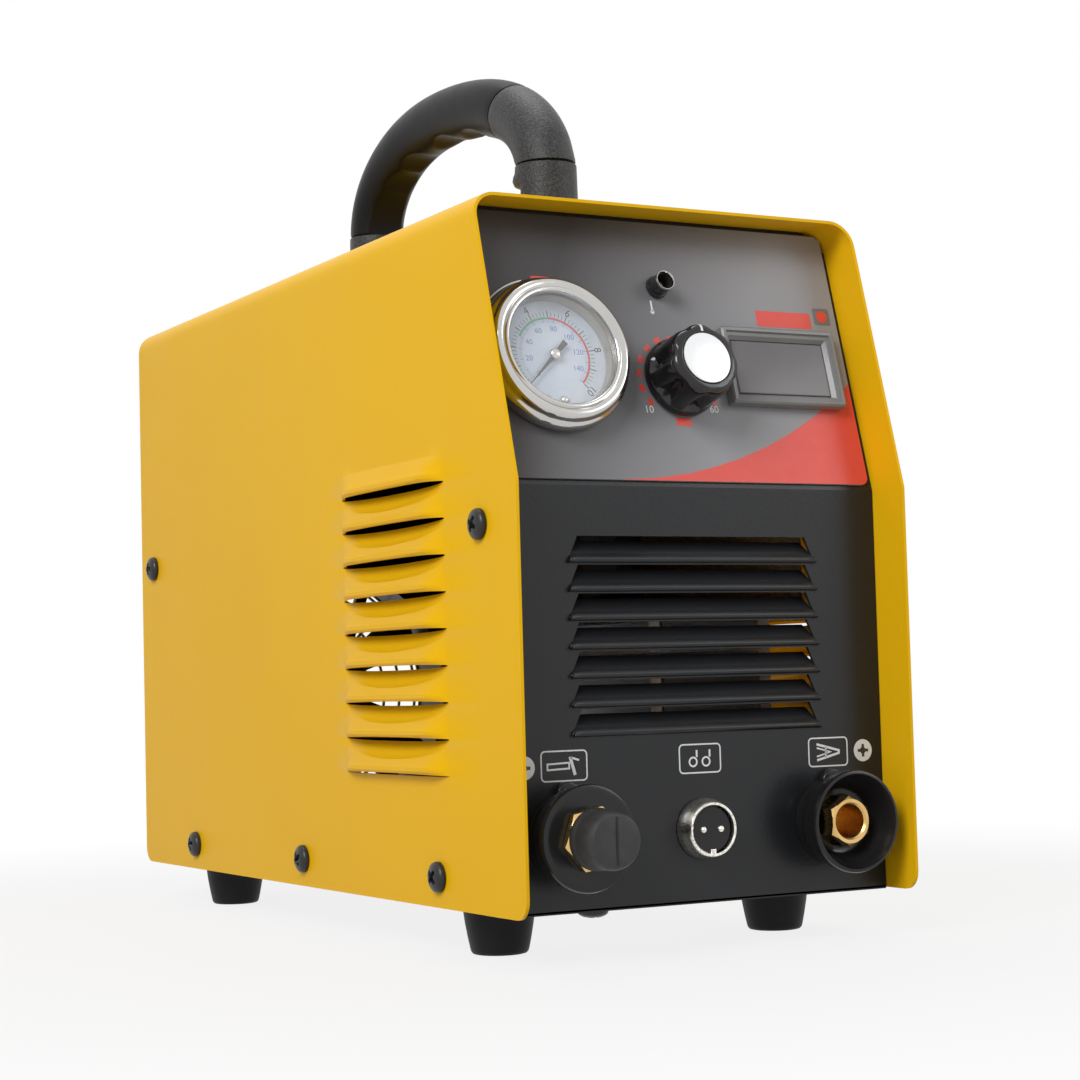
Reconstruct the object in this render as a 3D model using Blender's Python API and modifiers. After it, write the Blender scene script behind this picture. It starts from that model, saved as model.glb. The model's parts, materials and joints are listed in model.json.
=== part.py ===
"""Portable inverter plasma cutter: folded steel case, front controls, rear fan and the parts inside.

Metres, +Z up. The empty "unit" carries everything; its own frame has x = 0 on the middle plane,
y = 0 at the cover's front edge and z = 0 at the cover's bottom edge. The world origin is the
bottom centre of the whole object.
"""
import math

import bmesh
import bpy
from mathutils import Matrix, Vector

# ---------------------------------------------------------------- driving dimensions, in metres
GAP = 0.0003                     # clearance between pieces that touch

CASE_WIDTH = 0.155               # over the two flat sides
COVER_LENGTH = 0.362             # front edge of the lower part to the rear edge
COVER_HEIGHT = 0.2395            # bottom edge to the top face
KINK_HEIGHT = 0.1407             # where the front edge starts to lean back
NOSE_SETBACK = 0.0267            # how far the top front edge lies behind the lower front edge
SHEET = 0.0011                   # cover
PLATE = 0.0012                   # front panel, tray and rear panel
TOP_BEND_RADIUS = 0.009
CORNER_RADIUS = 0.0065           # lower corners of the side sheets
FRONT_RECESS = 0.017             # panel behind the cover's front edge
REAR_RECESS = 0.0086
PANEL_FLANGE = 0.015
TRAY_SIDE = 0.020                # height of the tray's upturned sides

HOOD_COUNT = 9
HOOD_PITCH = 0.0125
HOOD_LOWEST = 0.0446             # height of the lowest slit
HOOD_FRONT = 0.052               # first end of the slits, from the front edge
HOOD_LENGTH = 0.085
HOOD_BULGE = 0.0042
HOOD_FACE = 0.0095               # top crease above its slit
HOOD_RUN = 0.14                  # share of its length in which a hood rises, at each end
HOOD_LIP = 0.0012                # crease above the lip, where the hood stands out most
DISH_DEPTH = 0.0022
DISH_REACH = 0.0070
SLIT_LIFT = 0.0005               # the lip's edge above the slit line
SLIT_DROP = 0.0009               # the dish's edge below it

LOUVRE_COUNT = 7
LOUVRE_PITCH = 0.0096
LOUVRE_LOWEST = 0.0582           # bend line of the lowest flap
LOUVRE_HEIGHT = 0.0080
LOUVRE_TOP_HALF = 0.0458
LOUVRE_BEND_HALF = 0.0500
LOUVRE_TILT = math.radians(40)

SCREW_HEAD_RADIUS = 0.00525
SCREW_HEAD_HEIGHT = 0.0032
SCREW_SHANK_RADIUS = 0.0020
SCREW_LENGTH = 0.0075
SCREW_HOLE_CLEARANCE = 0.0004
LOW_SCREW_HEIGHT = 0.0105
LOW_SCREW_FIRST = 0.062
LOW_SCREW_LAST = 0.065           # from the cover's rear edge
FRONT_SCREW = (0.0256, 0.128)    # y and z of the screw into the front panel's flange
REAR_SCREW = (0.017, 0.131)      # distance from the rear edge, and height
BASE_SCREW = (-0.038, 0.027)     # x and y of the screw under the front panel

FOOT_HEIGHT = 0.0165
FOOT_TOP_RADIUS = 0.0125
FOOT_BOTTOM_RADIUS = 0.0096
FOOT_RIM_RADIUS = 0.0136
FOOT_RIM = 0.0016
FOOT_BORE_RADIUS = 0.0045
FOOT_BORE_DEPTH = 0.009
FOOT_SPREAD = 0.0567             # from the middle plane
FOOT_FRONT = 0.059
FOOT_REAR = 0.0555               # from the cover's rear edge

HANDLE_RADIUS = 0.0115
HANDLE_REAR = 0.2675             # middle of the rear leg
HANDLE_FRONT = 0.1135            # middle of the front leg
HANDLE_RISE = 0.070              # middle of the grip above the cover
HANDLE_CREST = 0.200             # where the grip is highest
HANDLE_LEG = 0.033               # height of the two leg sockets
HANDLE_FLARE = 0.0008            # how much wider a leg socket is at its base
HANDLE_NOSE_SPLIT = 0.60         # place of the seam along the front bend, 0 crest to 1 leg
HANDLE_NOTCH = 0.0045
HANDLE_NOTCH_HEIGHT = 0.026
FINGER_COUNT = 5
FINGER_DEPTH = 0.0016
FINGER_RADIUS = 0.013

FASCIA_THICKNESS = 0.0008
FASCIA_MARGIN = 0.0018

GAUGE_PLACE = (-0.0476, 0.45)    # x, and share of the slope's length up from the fold
GAUGE_BEZEL_RADIUS = 0.0260
GAUGE_BEZEL_HEIGHT = 0.0090
GAUGE_GLASS_RADIUS = 0.0205
GAUGE_OPENING_RADIUS = 0.0195
GAUGE_CASE_RADIUS = 0.0225
GAUGE_CASE_DEPTH = 0.028
GAUGE_WALL = 0.0010
GAUGE_DIAL_HEIGHT = 0.0028       # dial face above the panel
GAUGE_GLASS = 0.0012
NEEDLE_REACH = 0.0150
NEEDLE_TAIL = 0.0065
NEEDLE_PIN = 0.0006
NEEDLE_REST = math.radians(225)     # lower left, at zero

METER_PLACE = (0.0445, 0.4411)
METER_WIDTH = 0.048
METER_HEIGHT = 0.029
METER_RISE = 0.0038
METER_BODY = (0.0450, 0.0265)
METER_DEPTH = 0.022
METER_WINDOW = (0.0395, 0.0205)
METER_WINDOW_DROP = 0.0026
METER_WALL = 0.0015

KNOB_PLACE = (0.0015, 0.3895)
KNOB_SKIRT_RADIUS = 0.0130
KNOB_SKIRT_HEIGHT = 0.0030
KNOB_RADIUS = 0.0123
KNOB_FLUTE_DEPTH = 0.0011
KNOB_HEIGHT = 0.0190
KNOB_LOBES = 7
KNOB_LIFT = 0.0010               # running gap to the fascia
KNOB_CAP_RADIUS = 0.0089
KNOB_CAP_RISE = 0.0008
KNOB_TURN = math.radians(150)
SHAFT_RADIUS = 0.0030
BUSH_RADIUS = 0.0035
POT_RADIUS = 0.0120
POT_DEPTH = 0.0095

LED_PLACE = (-0.0010, 0.7315)
LED_BEZEL_RADIUS = 0.0034
LED_BEZEL_RISE = 0.0078
LED_BORE_RADIUS = 0.0025
LED_STEM_RADIUS = 0.0029
LED_STEM = 0.0075

SOCKET_SPREAD = 0.053            # torch and earth sockets from the middle plane
SOCKET_HEIGHT = 0.0248
SOCKET_RADIUS = 0.0176
SOCKET_RISE = 0.016
SOCKET_BASE_RADIUS = 0.0150
SOCKET_BASE = 0.0035
SOCKET_STEM_RADIUS = 0.0115      # body through the panel
SOCKET_STEM = 0.016
LUG_REACH = 0.0180               # locating lug above each socket
LUG_WIDTH = 0.0090

TORCH_NUT_ACROSS = 0.0212        # across flats
TORCH_NUT_THICKNESS = 0.0028
NUT_TURN = math.radians(30)
TORCH_SPIGOT_RADIUS = 0.0068
TORCH_SPIGOT = 0.0100
CAP_COLLAR_RADIUS = 0.0102
CAP_COLLAR = 0.0030
CAP_RADIUS = 0.0095
CAP_LENGTH = 0.0106
CAP_ROUND = 0.0014

CUP_WALL = 0.0015
CUP_FLOOR_RADIUS = 0.0112
CUP_FLOOR = 0.0052
CONTACT_ACROSS = 0.0152
CONTACT_RISE = 0.0120            # face of the brass contact above the panel
CONTACT_BORE_RADIUS = 0.0058
CONTACT_BORE_DEPTH = 0.022
CONTACT_STEM = 0.0074            # radius
CONTACT_TURN = math.radians(30)

PILOT_HEIGHT = 0.0246
PILOT_RADIUS = 0.0104
PILOT_RISE = 0.0070
PILOT_BORE_RADIUS = 0.0076
PILOT_BORE_DEPTH = 0.0075
PILOT_STEM_RADIUS = 0.0078
PILOT_STEM = 0.012
PIN_RADIUS = 0.0012
PIN_SPACING = 0.0070
PIN_DROP = 0.0020                # pin ends behind the rim
KEY_WIDTH = 0.0022

FAN_HEIGHT = 0.073               # middle of the fan
FAN_SIZE = 0.120
FAN_DEPTH = 0.025
FAN_WALL = 0.0028                # frame at its thinnest, beside the bore
FAN_OPENING_LIP = 0.0010         # how far the rear panel stands in over the bore
FAN_TIP_CLEARANCE = 0.0017
FAN_HUB_RADIUS = 0.0190
FAN_BLADES = 5
FAN_BLADE_SWEEP = math.radians(34)
FAN_REST = math.radians(141)
FAN_BLADE = 0.0012
FAN_AXLE_RADIUS = 0.0015
FAN_HOLE_EDGE = 0.0075           # bolt holes from the frame's sides
FAN_HUB_PLATE = 0.0030
FAN_STRUT_WIDTH = 0.0050
GUARD_WIRE = 0.0008
GUARD_RINGS = 6
GUARD_LIFT = 0.0040              # middle of the wire behind the rear panel
GUARD_EYE_RADIUS = 0.0050

SWITCH_PLACE = (-0.0360, 0.0545)   # x seen from behind, and distance below the cover's top
SWITCH_FRAME = (0.0300, 0.0240)
SWITCH_BODY = (0.0270, 0.0210)
SWITCH_DEPTH = 0.024
SWITCH_RISE = 0.0022
SWITCH_WELL = 0.0110
SWITCH_WALL = 0.0018
ROCKER_AXLE_RADIUS = 0.0016
ROCKER_TILT = math.radians(11)

GLAND_PLACE = (0.0, 0.0345)
GLAND_ACROSS = 0.022
GLAND_FLANGE = 0.0045
GLAND_DOME_RADIUS = 0.0095
GLAND_RISE = 0.0200
GLAND_BORE_RADIUS = 0.0050
GLAND_STEM_RADIUS = 0.0078

INLET_PLACE = (0.0400, 0.0545)
INLET_ACROSS = 0.0170
INLET_HEX = 0.0060
INLET_BARB_RADIUS = 0.0048
INLET_BARB_TIP = 0.0036
INLET_RISE = 0.0280
INLET_BORE_RADIUS = 0.0022
INLET_STEM_RADIUS = 0.0062
INLET_STEM = 0.012
INLET_TAIL_RADIUS = 0.0026

EARTH_PLACE = (-0.0660, 0.0780)
EARTH_RADIUS = 0.0030
EARTH_ACROSS = 0.0100
EARTH_RISE = 0.0110

SINK_WIDTH = 0.052
SINK_LENGTH = 0.068
SINK_HEIGHT = 0.098
SINK_FINS = 8
SINK_FIN = 0.0022
SINK_BASE = 0.0050
SINK_MIDDLE = 0.040              # x of both heat sinks
SINK_FIRST = 0.070
SINK_SPACE = 0.010

BOARD = (0.066, 0.176)
BOARD_MIDDLE = 0.038
BOARD_THICKNESS = 0.0016
CAPACITOR_RADIUS = 0.0150
CAPACITOR_HEIGHT = 0.046
CAPACITOR_PITCH = 0.034
CAPACITORS = 3
CHOKE_SIZE = (0.034, 0.030, 0.026)

CORE_SIZE = (0.046, 0.056, 0.034)  # transformer core
CORE_LIMB = 0.0120
WINDING_GROWTH = 0.0050
CORE_PLACE = (-0.0300, 0.0549)   # x, and distance in front of the fan

VALVE_SIZE = (0.026, 0.034, 0.022)
VALVE_CENTRE = (-0.0500, 0.1000)
COIL_RADIUS = 0.0115
COIL_HEIGHT = 0.015
HOSE_RADIUS = 0.0042
HOSE_SIDE = 0.0115               # middle of the hose from the outside of the case

ROUND = 14                       # facets of a plain turned piece
FINE = 24                        # facets of a large visible round

# ---------------------------------------------------------------- worked out from the above
HALF_WIDTH = CASE_WIDTH / 2
INNER_HALF = HALF_WIDTH - SHEET - GAP          # outside of panels and tray
SLOPE = math.atan2(NOSE_SETBACK, COVER_HEIGHT - KINK_HEIGHT)
PANEL_TOP = COVER_HEIGHT - SHEET - GAP
SLOPE_LENGTH = (PANEL_TOP - KINK_HEIGHT) / math.cos(SLOPE)
REAR_FACE = COVER_LENGTH - REAR_RECESS
TRAY_BOTTOM = PLATE + GAP                      # tray lies on the panels' bottom flanges
TRAY_TOP = TRAY_BOTTOM + PLATE
SCREW_HOLE_RADIUS = SCREW_SHANK_RADIUS + SCREW_HOLE_CLEARANCE
FASCIA_TOP = GAP + FASCIA_THICKNESS
CAP_FRONT = SOCKET_RISE + GAP + TORCH_NUT_THICKNESS + GAP + CAP_COLLAR + CAP_LENGTH
FRONT_REACH = CAP_FRONT - FRONT_RECESS         # how far the torch cap stands before y = 0
REAR_REACH = max(COVER_LENGTH, REAR_FACE + INLET_RISE)
MIDDLE_Y = (REAR_REACH - FRONT_REACH) / 2
SINK_TOP = TRAY_TOP + GAP + SINK_HEIGHT
BOARD_BOTTOM = SINK_TOP + GAP
SINK_REAR = SINK_FIRST + SINK_LENGTH + SINK_SPACE
FAN_INNER = REAR_FACE - PLATE - GAP - FAN_DEPTH
GAUGE_CENTRE, METER_CENTRE, KNOB_CENTRE, LED_CENTRE = (
    (x, share * SLOPE_LENGTH) for x, share in (GAUGE_PLACE, METER_PLACE, KNOB_PLACE, LED_PLACE))
SWITCH_CENTRE, GLAND_CENTRE, INLET_CENTRE, EARTH_CENTRE = (
    (x, COVER_HEIGHT - drop) for x, drop in (SWITCH_PLACE, GLAND_PLACE, INLET_PLACE, EARTH_PLACE))
FAN_BORE_RADIUS = FAN_SIZE / 2 - FAN_WALL
FAN_OPENING_RADIUS = FAN_BORE_RADIUS - FAN_OPENING_LIP
FAN_BLADE_RADIUS = FAN_BORE_RADIUS - FAN_TIP_CLEARANCE
FAN_HOLE_SPACING = FAN_SIZE - 2 * FAN_HOLE_EDGE
GUARD_STEP = FAN_SIZE / 15
CORE_CENTRE = (CORE_PLACE[0], FAN_INNER - CORE_PLACE[1])


# ---------------------------------------------------------------- modelling tools
def empty_frame(name, parent, at=(0, 0, 0), turn=(0, 0, 0)):
    """An empty that pieces are placed in."""
    frame = bpy.data.objects.new(name, None)
    frame.empty_display_size = 0.02
    frame.parent = parent
    frame.location = at
    frame.rotation_euler = turn
    PARTS.objects.link(frame)
    return frame


def material(name, colour, roughness, metallic=0.0):
    look = bpy.data.materials.new(name)
    look.use_nodes = True
    shader = look.node_tree.nodes["Principled BSDF"]
    shader.inputs["Base Color"].default_value = (*colour, 1.0)
    shader.inputs["Roughness"].default_value = roughness
    shader.inputs["Metallic"].default_value = metallic
    look.diffuse_color = (*colour, 1.0)
    return look


def place(name, mesh, frame, at, turn, group):
    item = bpy.data.objects.new(name, mesh)
    item.parent = frame
    item.location = at
    item.rotation_euler = turn
    group.objects.link(item)
    return item


def piece(name, mesh, look, frame, at=(0, 0, 0), turn=(0, 0, 0)):
    """A part of the product."""
    item = place(name, mesh, frame, at, turn, PARTS)
    mesh.materials.append(look)
    return item


def tool(mesh, frame, at=(0, 0, 0), turn=(0, 0, 0)):
    """A hidden shape that cuts or is joined to a piece."""
    item = place("tool", mesh, frame, at, turn, TOOLS)
    item.hide_render = True
    item.display_type = "WIRE"
    return item


def combine(target, other, operation):
    step = target.modifiers.new(operation.lower(), "BOOLEAN")
    step.operation = operation
    step.solver = "EXACT"
    step.object = other


def cut(target, *others):
    for other in others:
        combine(target, other, "DIFFERENCE")


def join(target, *others):
    for other in others:
        combine(target, other, "UNION")


def soften(target, width, segments=2):
    """Rounds the sharp edges of a piece."""
    step = target.modifiers.new("soften", "BEVEL")
    step.width = width
    step.segments = segments
    step.limit_method = "ANGLE"
    step.angle_limit = math.radians(50)


def finished(bm, name="shape", recalculate=True):
    if recalculate:
        bmesh.ops.recalc_face_normals(bm, faces=bm.faces)
    mesh = bpy.data.meshes.new(name)
    bm.to_mesh(mesh)
    bm.free()
    mesh.shade_smooth()
    mesh.set_sharp_from_angle(angle=math.radians(35))
    return mesh


def box(size, centre=(0, 0, 0)):
    bm = bmesh.new()
    bmesh.ops.create_cube(bm, size=1.0, matrix=Matrix.LocRotScale(Vector(centre), None, Vector(size)))
    return finished(bm)


def rod(radius, bottom, top, facets=ROUND, top_radius=None):
    """A cylinder or a cone along Z."""
    bm = bmesh.new()
    end_radius = radius if top_radius is None else top_radius
    middle = Matrix.Translation((0, 0, (top + bottom) / 2))
    bmesh.ops.create_cone(bm, cap_ends=True, segments=facets, radius1=radius, radius2=end_radius,
                          depth=top - bottom, matrix=middle)
    return finished(bm)


def prism(outline, bottom, top):
    """An outline in X and Y, extruded along Z."""
    bm = bmesh.new()
    face = bm.faces.new([bm.verts.new((x, y, bottom)) for x, y in outline])
    grown = bmesh.ops.extrude_face_region(bm, geom=[face])
    ends = [item for item in grown["geom"] if isinstance(item, bmesh.types.BMVert)]
    bmesh.ops.translate(bm, verts=ends, vec=(0, 0, top - bottom))
    return finished(bm)


def side_prism(outline, half):
    """An outline in Y and Z, extruded along X from -half to half."""
    bm = bmesh.new()
    face = bm.faces.new([bm.verts.new((-half, y, z)) for y, z in outline])
    grown = bmesh.ops.extrude_face_region(bm, geom=[face])
    ends = [item for item in grown["geom"] if isinstance(item, bmesh.types.BMVert)]
    bmesh.ops.translate(bm, verts=ends, vec=(2 * half, 0, 0))
    return finished(bm)


def arc(centre, radius, first, last, steps):
    """Points on a circle from one angle to another, both included."""
    angles = [first + (last - first) * i / steps for i in range(steps + 1)]
    return [(centre[0] + radius * math.cos(a), centre[1] + radius * math.sin(a)) for a in angles]


def rounded_rectangle(width, height, radius, steps=3, centre=(0, 0)):
    points = []
    for quarter, (sx, sy) in enumerate(((1, 1), (-1, 1), (-1, -1), (1, -1))):
        corner = (centre[0] + sx * (width / 2 - radius), centre[1] + sy * (height / 2 - radius))
        start = quarter * math.pi / 2
        points += arc(corner, radius, start, start + math.pi / 2, steps)
    return points


def hexagon(across, turn=0.0):
    radius = across / math.sqrt(3)
    return [(radius * math.cos(turn + i * math.pi / 3), radius * math.sin(turn + i * math.pi / 3))
            for i in range(6)]


def profile_mesh(points, ring):
    """A chain of radius and height pairs, ready to be turned; a ring's chain is closed."""
    mesh = bpy.data.meshes.new("profile")
    links = [(i, i + 1) for i in range(len(points) - 1)]
    if ring:
        links.append((len(points) - 1, 0))
    mesh.from_pydata([(radius, 0, height) for radius, height in points], links, [])
    return mesh


def turn_it(item, facets):
    step = item.modifiers.new("turn", "SCREW")
    step.steps = facets
    step.render_steps = facets
    step.use_merge_vertices = True
    step.merge_threshold = 0.00001
    step.use_smooth_shade = True
    return item


def turned(name, points, look, frame, at=(0, 0, 0), turn=(0, 0, 0), facets=ROUND, ring=False):
    """A turned piece. Its profile runs down the outside, top to bottom."""
    return turn_it(piece(name, profile_mesh(points, ring), look, frame, at, turn), facets)


def turned_tool(points, frame, at=(0, 0, 0), turn=(0, 0, 0), facets=ROUND, ring=False):
    return turn_it(tool(profile_mesh(points, ring), frame, at, turn), facets)


# ---------------------------------------------------------------- cover: one folded sheet
def front_edge(height):
    """Where the cover's front edge lies at a height."""
    if height < CORNER_RADIUS:
        return CORNER_RADIUS - math.sqrt(CORNER_RADIUS ** 2 - (CORNER_RADIUS - height) ** 2)
    return max(0.0, (height - KINK_HEIGHT) * math.tan(SLOPE))


def rear_edge(height):
    if height < CORNER_RADIUS:
        return COVER_LENGTH - front_edge(height)
    return COVER_LENGTH


def lens(u):
    """The half moon of a slit, 0 at its ends and 1 in its middle."""
    return math.sqrt(max(0.0, 1 - (2 * u - 1) ** 2))


def end_ramp(u):
    """How a hood rises from the flat sheet at its two ends."""
    return math.sin(math.pi / 2 * min(1.0, min(u, 1 - u) / HOOD_RUN))


def hood_rows(slit, is_lowest, is_highest):
    """Rows of a hood as functions of u, each giving height and outward offset."""
    def edge_below(u):
        if is_lowest:
            return slit, 0.0
        return slit - SLIT_DROP * lens(u), -DISH_DEPTH * lens(u)

    def lip(u):
        return slit + SLIT_LIFT * lens(u), 0.8 * HOOD_BULGE * end_ramp(u)

    def crease(u):
        return slit + HOOD_LIP, HOOD_BULGE * end_ramp(u)

    def crest(u):
        height = slit + HOOD_PITCH - DISH_REACH * max(lens(u), 0.08)
        share = (slit + HOOD_FACE - height) / (HOOD_FACE - HOOD_LIP)
        return height, HOOD_BULGE * end_ramp(u) * max(0.0, min(1.0, share))

    def top(u):
        return slit + HOOD_FACE, 0.0

    return [edge_below, lip, crease, top if is_highest else crest]


def make_cover(frame, look):
    """Side sheets with pressed hoods and dished slits, bent over into the top; the left half is mirrored."""
    hood_columns = (0, HOOD_RUN, 0.32, 0.5, 0.68, 1 - HOOD_RUN, 1)
    columns = [None] + [HOOD_FRONT + u * HOOD_LENGTH for u in hood_columns] + [None]
    us = [0] + list(hood_columns) + [1]
    bm = bmesh.new()

    def flat_row(x, z):
        ys = [front_edge(z)] + columns[1:-1] + [rear_edge(z)]
        return [bm.verts.new((x, y, z)) for y in ys]

    corner = [CORNER_RADIUS * (1 - math.cos(i * math.pi / 6)) for i in range(4)]
    rows = [flat_row(-HALF_WIDTH, z) for z in corner]
    slits = []
    for k in range(HOOD_COUNT):
        makers = hood_rows(HOOD_LOWEST + k * HOOD_PITCH, k == 0, k == HOOD_COUNT - 1)
        for kind, maker in enumerate(makers):
            row = []
            for j, u in enumerate(us):
                z, out = maker(u)
                if kind == 1 and lens(u) == 0:
                    row.append(rows[-1][j])
                    continue
                if j == 0 and abs(z - KINK_HEIGHT) < HOOD_PITCH / 3 and kind == 3:
                    z = KINK_HEIGHT
                y = front_edge(z) if j == 0 else rear_edge(z) if j == len(us) - 1 else columns[j]
                row.append(bm.verts.new((-HALF_WIDTH - out, y, z)))
            if kind == 1:
                slits.append(len(rows) - 1)
            rows.append(row)
    bend = (-HALF_WIDTH + TOP_BEND_RADIUS, COVER_HEIGHT - TOP_BEND_RADIUS)
    rows += [flat_row(x, z) for x, z in arc(bend, TOP_BEND_RADIUS, math.pi, math.pi / 2, 4)]
    rows.append(flat_row(0.0, COVER_HEIGHT))
    for i in range(len(rows) - 1):
        if i in slits:
            continue
        for j in range(len(us) - 1):
            corners = [rows[i][j], rows[i + 1][j], rows[i + 1][j + 1], rows[i][j + 1]]
            bm.faces.new(list(dict.fromkeys(corners)))
    cover = piece("cover", finished(bm, recalculate=False), look, frame)
    mirror = cover.modifiers.new("other half", "MIRROR")
    mirror.merge_threshold = 0.00001
    shell = cover.modifiers.new("sheet", "SOLIDIFY")
    shell.thickness = SHEET
    shell.offset = -1
    flat = cover.modifiers.new("merge flat faces", "DECIMATE")
    flat.decimate_type = "DISSOLVE"
    flat.angle_limit = math.radians(0.2)
    cut(cover, *[screw_hole(frame, y, z) for y, z in side_screw_places()])
    return cover


def side_screw_places():
    pitch = (COVER_LENGTH - LOW_SCREW_LAST - LOW_SCREW_FIRST) / 2
    low = [(LOW_SCREW_FIRST + i * pitch, LOW_SCREW_HEIGHT) for i in range(3)]
    return [FRONT_SCREW, *low, (COVER_LENGTH - REAR_SCREW[0], REAR_SCREW[1])]


def screw_hole(frame, y, z, half=0.1):
    """A drill through both sides of the case."""
    return tool(rod(SCREW_HOLE_RADIUS, -half, half, 12), frame, (0, y, z), (0, math.pi / 2, 0))


def make_screw(name, frame, at, turn, look):
    """A pan-head screw; its local Z points out of the sheet that it holds."""
    dome = arc((0, 0), SCREW_HEAD_RADIUS, math.pi / 2, 0, 2)
    head = [(x, GAP + SCREW_HEAD_HEIGHT * (0.35 + 0.65 * y / SCREW_HEAD_RADIUS)) for x, y in dome]
    shank = [(SCREW_HEAD_RADIUS, GAP), (SCREW_SHANK_RADIUS, GAP),
             (SCREW_SHANK_RADIUS, GAP - SCREW_LENGTH), (0, GAP - SCREW_LENGTH)]
    return turned(name, head + shank, look, frame, at, turn, facets=10)


def make_side_screws(frame, look):
    names = ("front", "low_front", "low_middle", "low_rear", "rear")
    for name, (y, z) in zip(names, side_screw_places()):
        make_screw(f"side_screw_left_{name}", frame, (-HALF_WIDTH, y, z), (0, -math.pi / 2, 0), look)
        make_screw(f"side_screw_right_{name}", frame, (HALF_WIDTH, y, z), (0, math.pi / 2, 0), look)


# ---------------------------------------------------------------- front panel, fascia, tray, rear panel
def panel_face(height):
    """Where the front panel's outer face lies at a height."""
    return FRONT_RECESS + max(0.0, height - KINK_HEIGHT) * math.tan(SLOPE)


def clear_of_tray(frame, first, last):
    """Cuts that end a panel's side flanges above the tray's upturned sides."""
    size = (2 * PLATE, last - first, TRAY_SIDE + GAP - PLATE)
    height = PLATE + size[2] / 2
    middle = INNER_HALF - GAP
    return [tool(box(size), frame, (side * middle, (first + last) / 2, height)) for side in (-1, 1)]


def trimmed_corners(frame):
    """Cuts that round a panel's upper corners to lie inside the cover's two bends."""
    radius = TOP_BEND_RADIUS - SHEET - GAP
    x, z = HALF_WIDTH - TOP_BEND_RADIUS, COVER_HEIGHT - TOP_BEND_RADIUS
    far = TOP_BEND_RADIUS * 1.5
    outline = arc((x, z), radius, math.pi / 2, 0, 4) + [(x + far, z), (x + far, z + far), (x, z + far)]
    right = prism(outline, -COVER_LENGTH, 0)
    left = prism([(-x, z) for x, z in outline], -COVER_LENGTH, 0)
    return [tool(mesh, frame, (0, 0, 0), (math.pi / 2, 0, 0)) for mesh in (right, left)]


def make_front_panel(frame, front, slope, look):
    """Folded sheet with flanges all round, seven louvres pressed inward, and holes for what it carries."""
    deep = FRONT_RECESS + PANEL_FLANGE
    top_y = panel_face(PANEL_TOP)
    outer = [(FRONT_RECESS, 0), (FRONT_RECESS, KINK_HEIGHT), (top_y, PANEL_TOP),
             (top_y + PANEL_FLANGE, PANEL_TOP), (deep, KINK_HEIGHT), (deep, 0)]
    back = top_y + 2 * PANEL_FLANGE
    skin = PLATE / math.cos(SLOPE)
    fold = (FRONT_RECESS + PLATE, KINK_HEIGHT + PLATE * math.tan(SLOPE / 2))
    inner = [(FRONT_RECESS + PLATE, PLATE), fold, (panel_face(PANEL_TOP - PLATE) + skin, PANEL_TOP - PLATE),
             (back, PANEL_TOP - PLATE), (back, PLATE)]
    panel = piece("front_panel", side_prism(outer, INNER_HALF), look, frame)
    cut(panel, tool(side_prism(inner, INNER_HALF - PLATE), frame))
    cut(panel, *clear_of_tray(frame, FRONT_RECESS + PLATE, deep + PLATE), *trimmed_corners(frame))
    for k in range(LOUVRE_COUNT):
        bend = LOUVRE_LOWEST + k * LOUVRE_PITCH
        window = [(-LOUVRE_BEND_HALF, 0), (LOUVRE_BEND_HALF, 0),
                  (LOUVRE_TOP_HALF, LOUVRE_HEIGHT), (-LOUVRE_TOP_HALF, LOUVRE_HEIGHT)]
        flap = [(x - math.copysign(GAP, x), y) for x, y in window]
        cut(panel, tool(prism(window, -0.005, 0.005), front, (0, bend, 0)))
        join(panel, tool(prism(flap, -PLATE, 0), front, (0, bend, 0), (-LOUVRE_TILT, 0, 0)))
    for side in (-1, 1):
        at = (side * SOCKET_SPREAD, SOCKET_HEIGHT, 0)
        cut(panel, tool(rod(SOCKET_STEM_RADIUS + GAP, -0.01, 0.01), front, at))
    cut(panel, tool(rod(PILOT_STEM_RADIUS + GAP, -0.01, 0.01), front, (0, PILOT_HEIGHT, 0)))
    cut(panel, *slope_holes(slope))
    y, z = FRONT_SCREW
    cut(panel, screw_hole(frame, y, z))
    drill = tool(rod(SCREW_HOLE_RADIUS, -0.005, 0.005, 12), frame, (*BASE_SCREW, 0))
    cut(panel, drill)
    return panel


def slope_holes(slope):
    """What passes through both the fascia and the panel behind it."""
    depth = 0.01
    gauge = tool(rod(GAUGE_CASE_RADIUS + GAP, -depth, depth, FINE), slope, (*GAUGE_CENTRE, 0))
    knob = tool(rod(BUSH_RADIUS + GAP, -depth, depth, 16), slope, (*KNOB_CENTRE, 0))
    led = tool(rod(LED_STEM_RADIUS + GAP, -depth, depth, 16), slope, (*LED_CENTRE, 0))
    meter = tool(box((METER_BODY[0] + 2 * GAP, METER_BODY[1] + 2 * GAP, 2 * depth)), slope, (*METER_CENTRE, 0))
    return [gauge, knob, led, meter]


def make_fascia(slope, look):
    """Printed plate on the slanted part of the panel."""
    width = 2 * (INNER_HALF - FASCIA_MARGIN)
    height = SLOPE_LENGTH - 2 * FASCIA_MARGIN
    outline = rounded_rectangle(width, height, 0.003, centre=(0, SLOPE_LENGTH / 2))
    fascia = piece("fascia", prism(outline, GAP, FASCIA_TOP), look, slope)
    cut(fascia, *slope_holes(slope))
    return fascia


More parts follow.
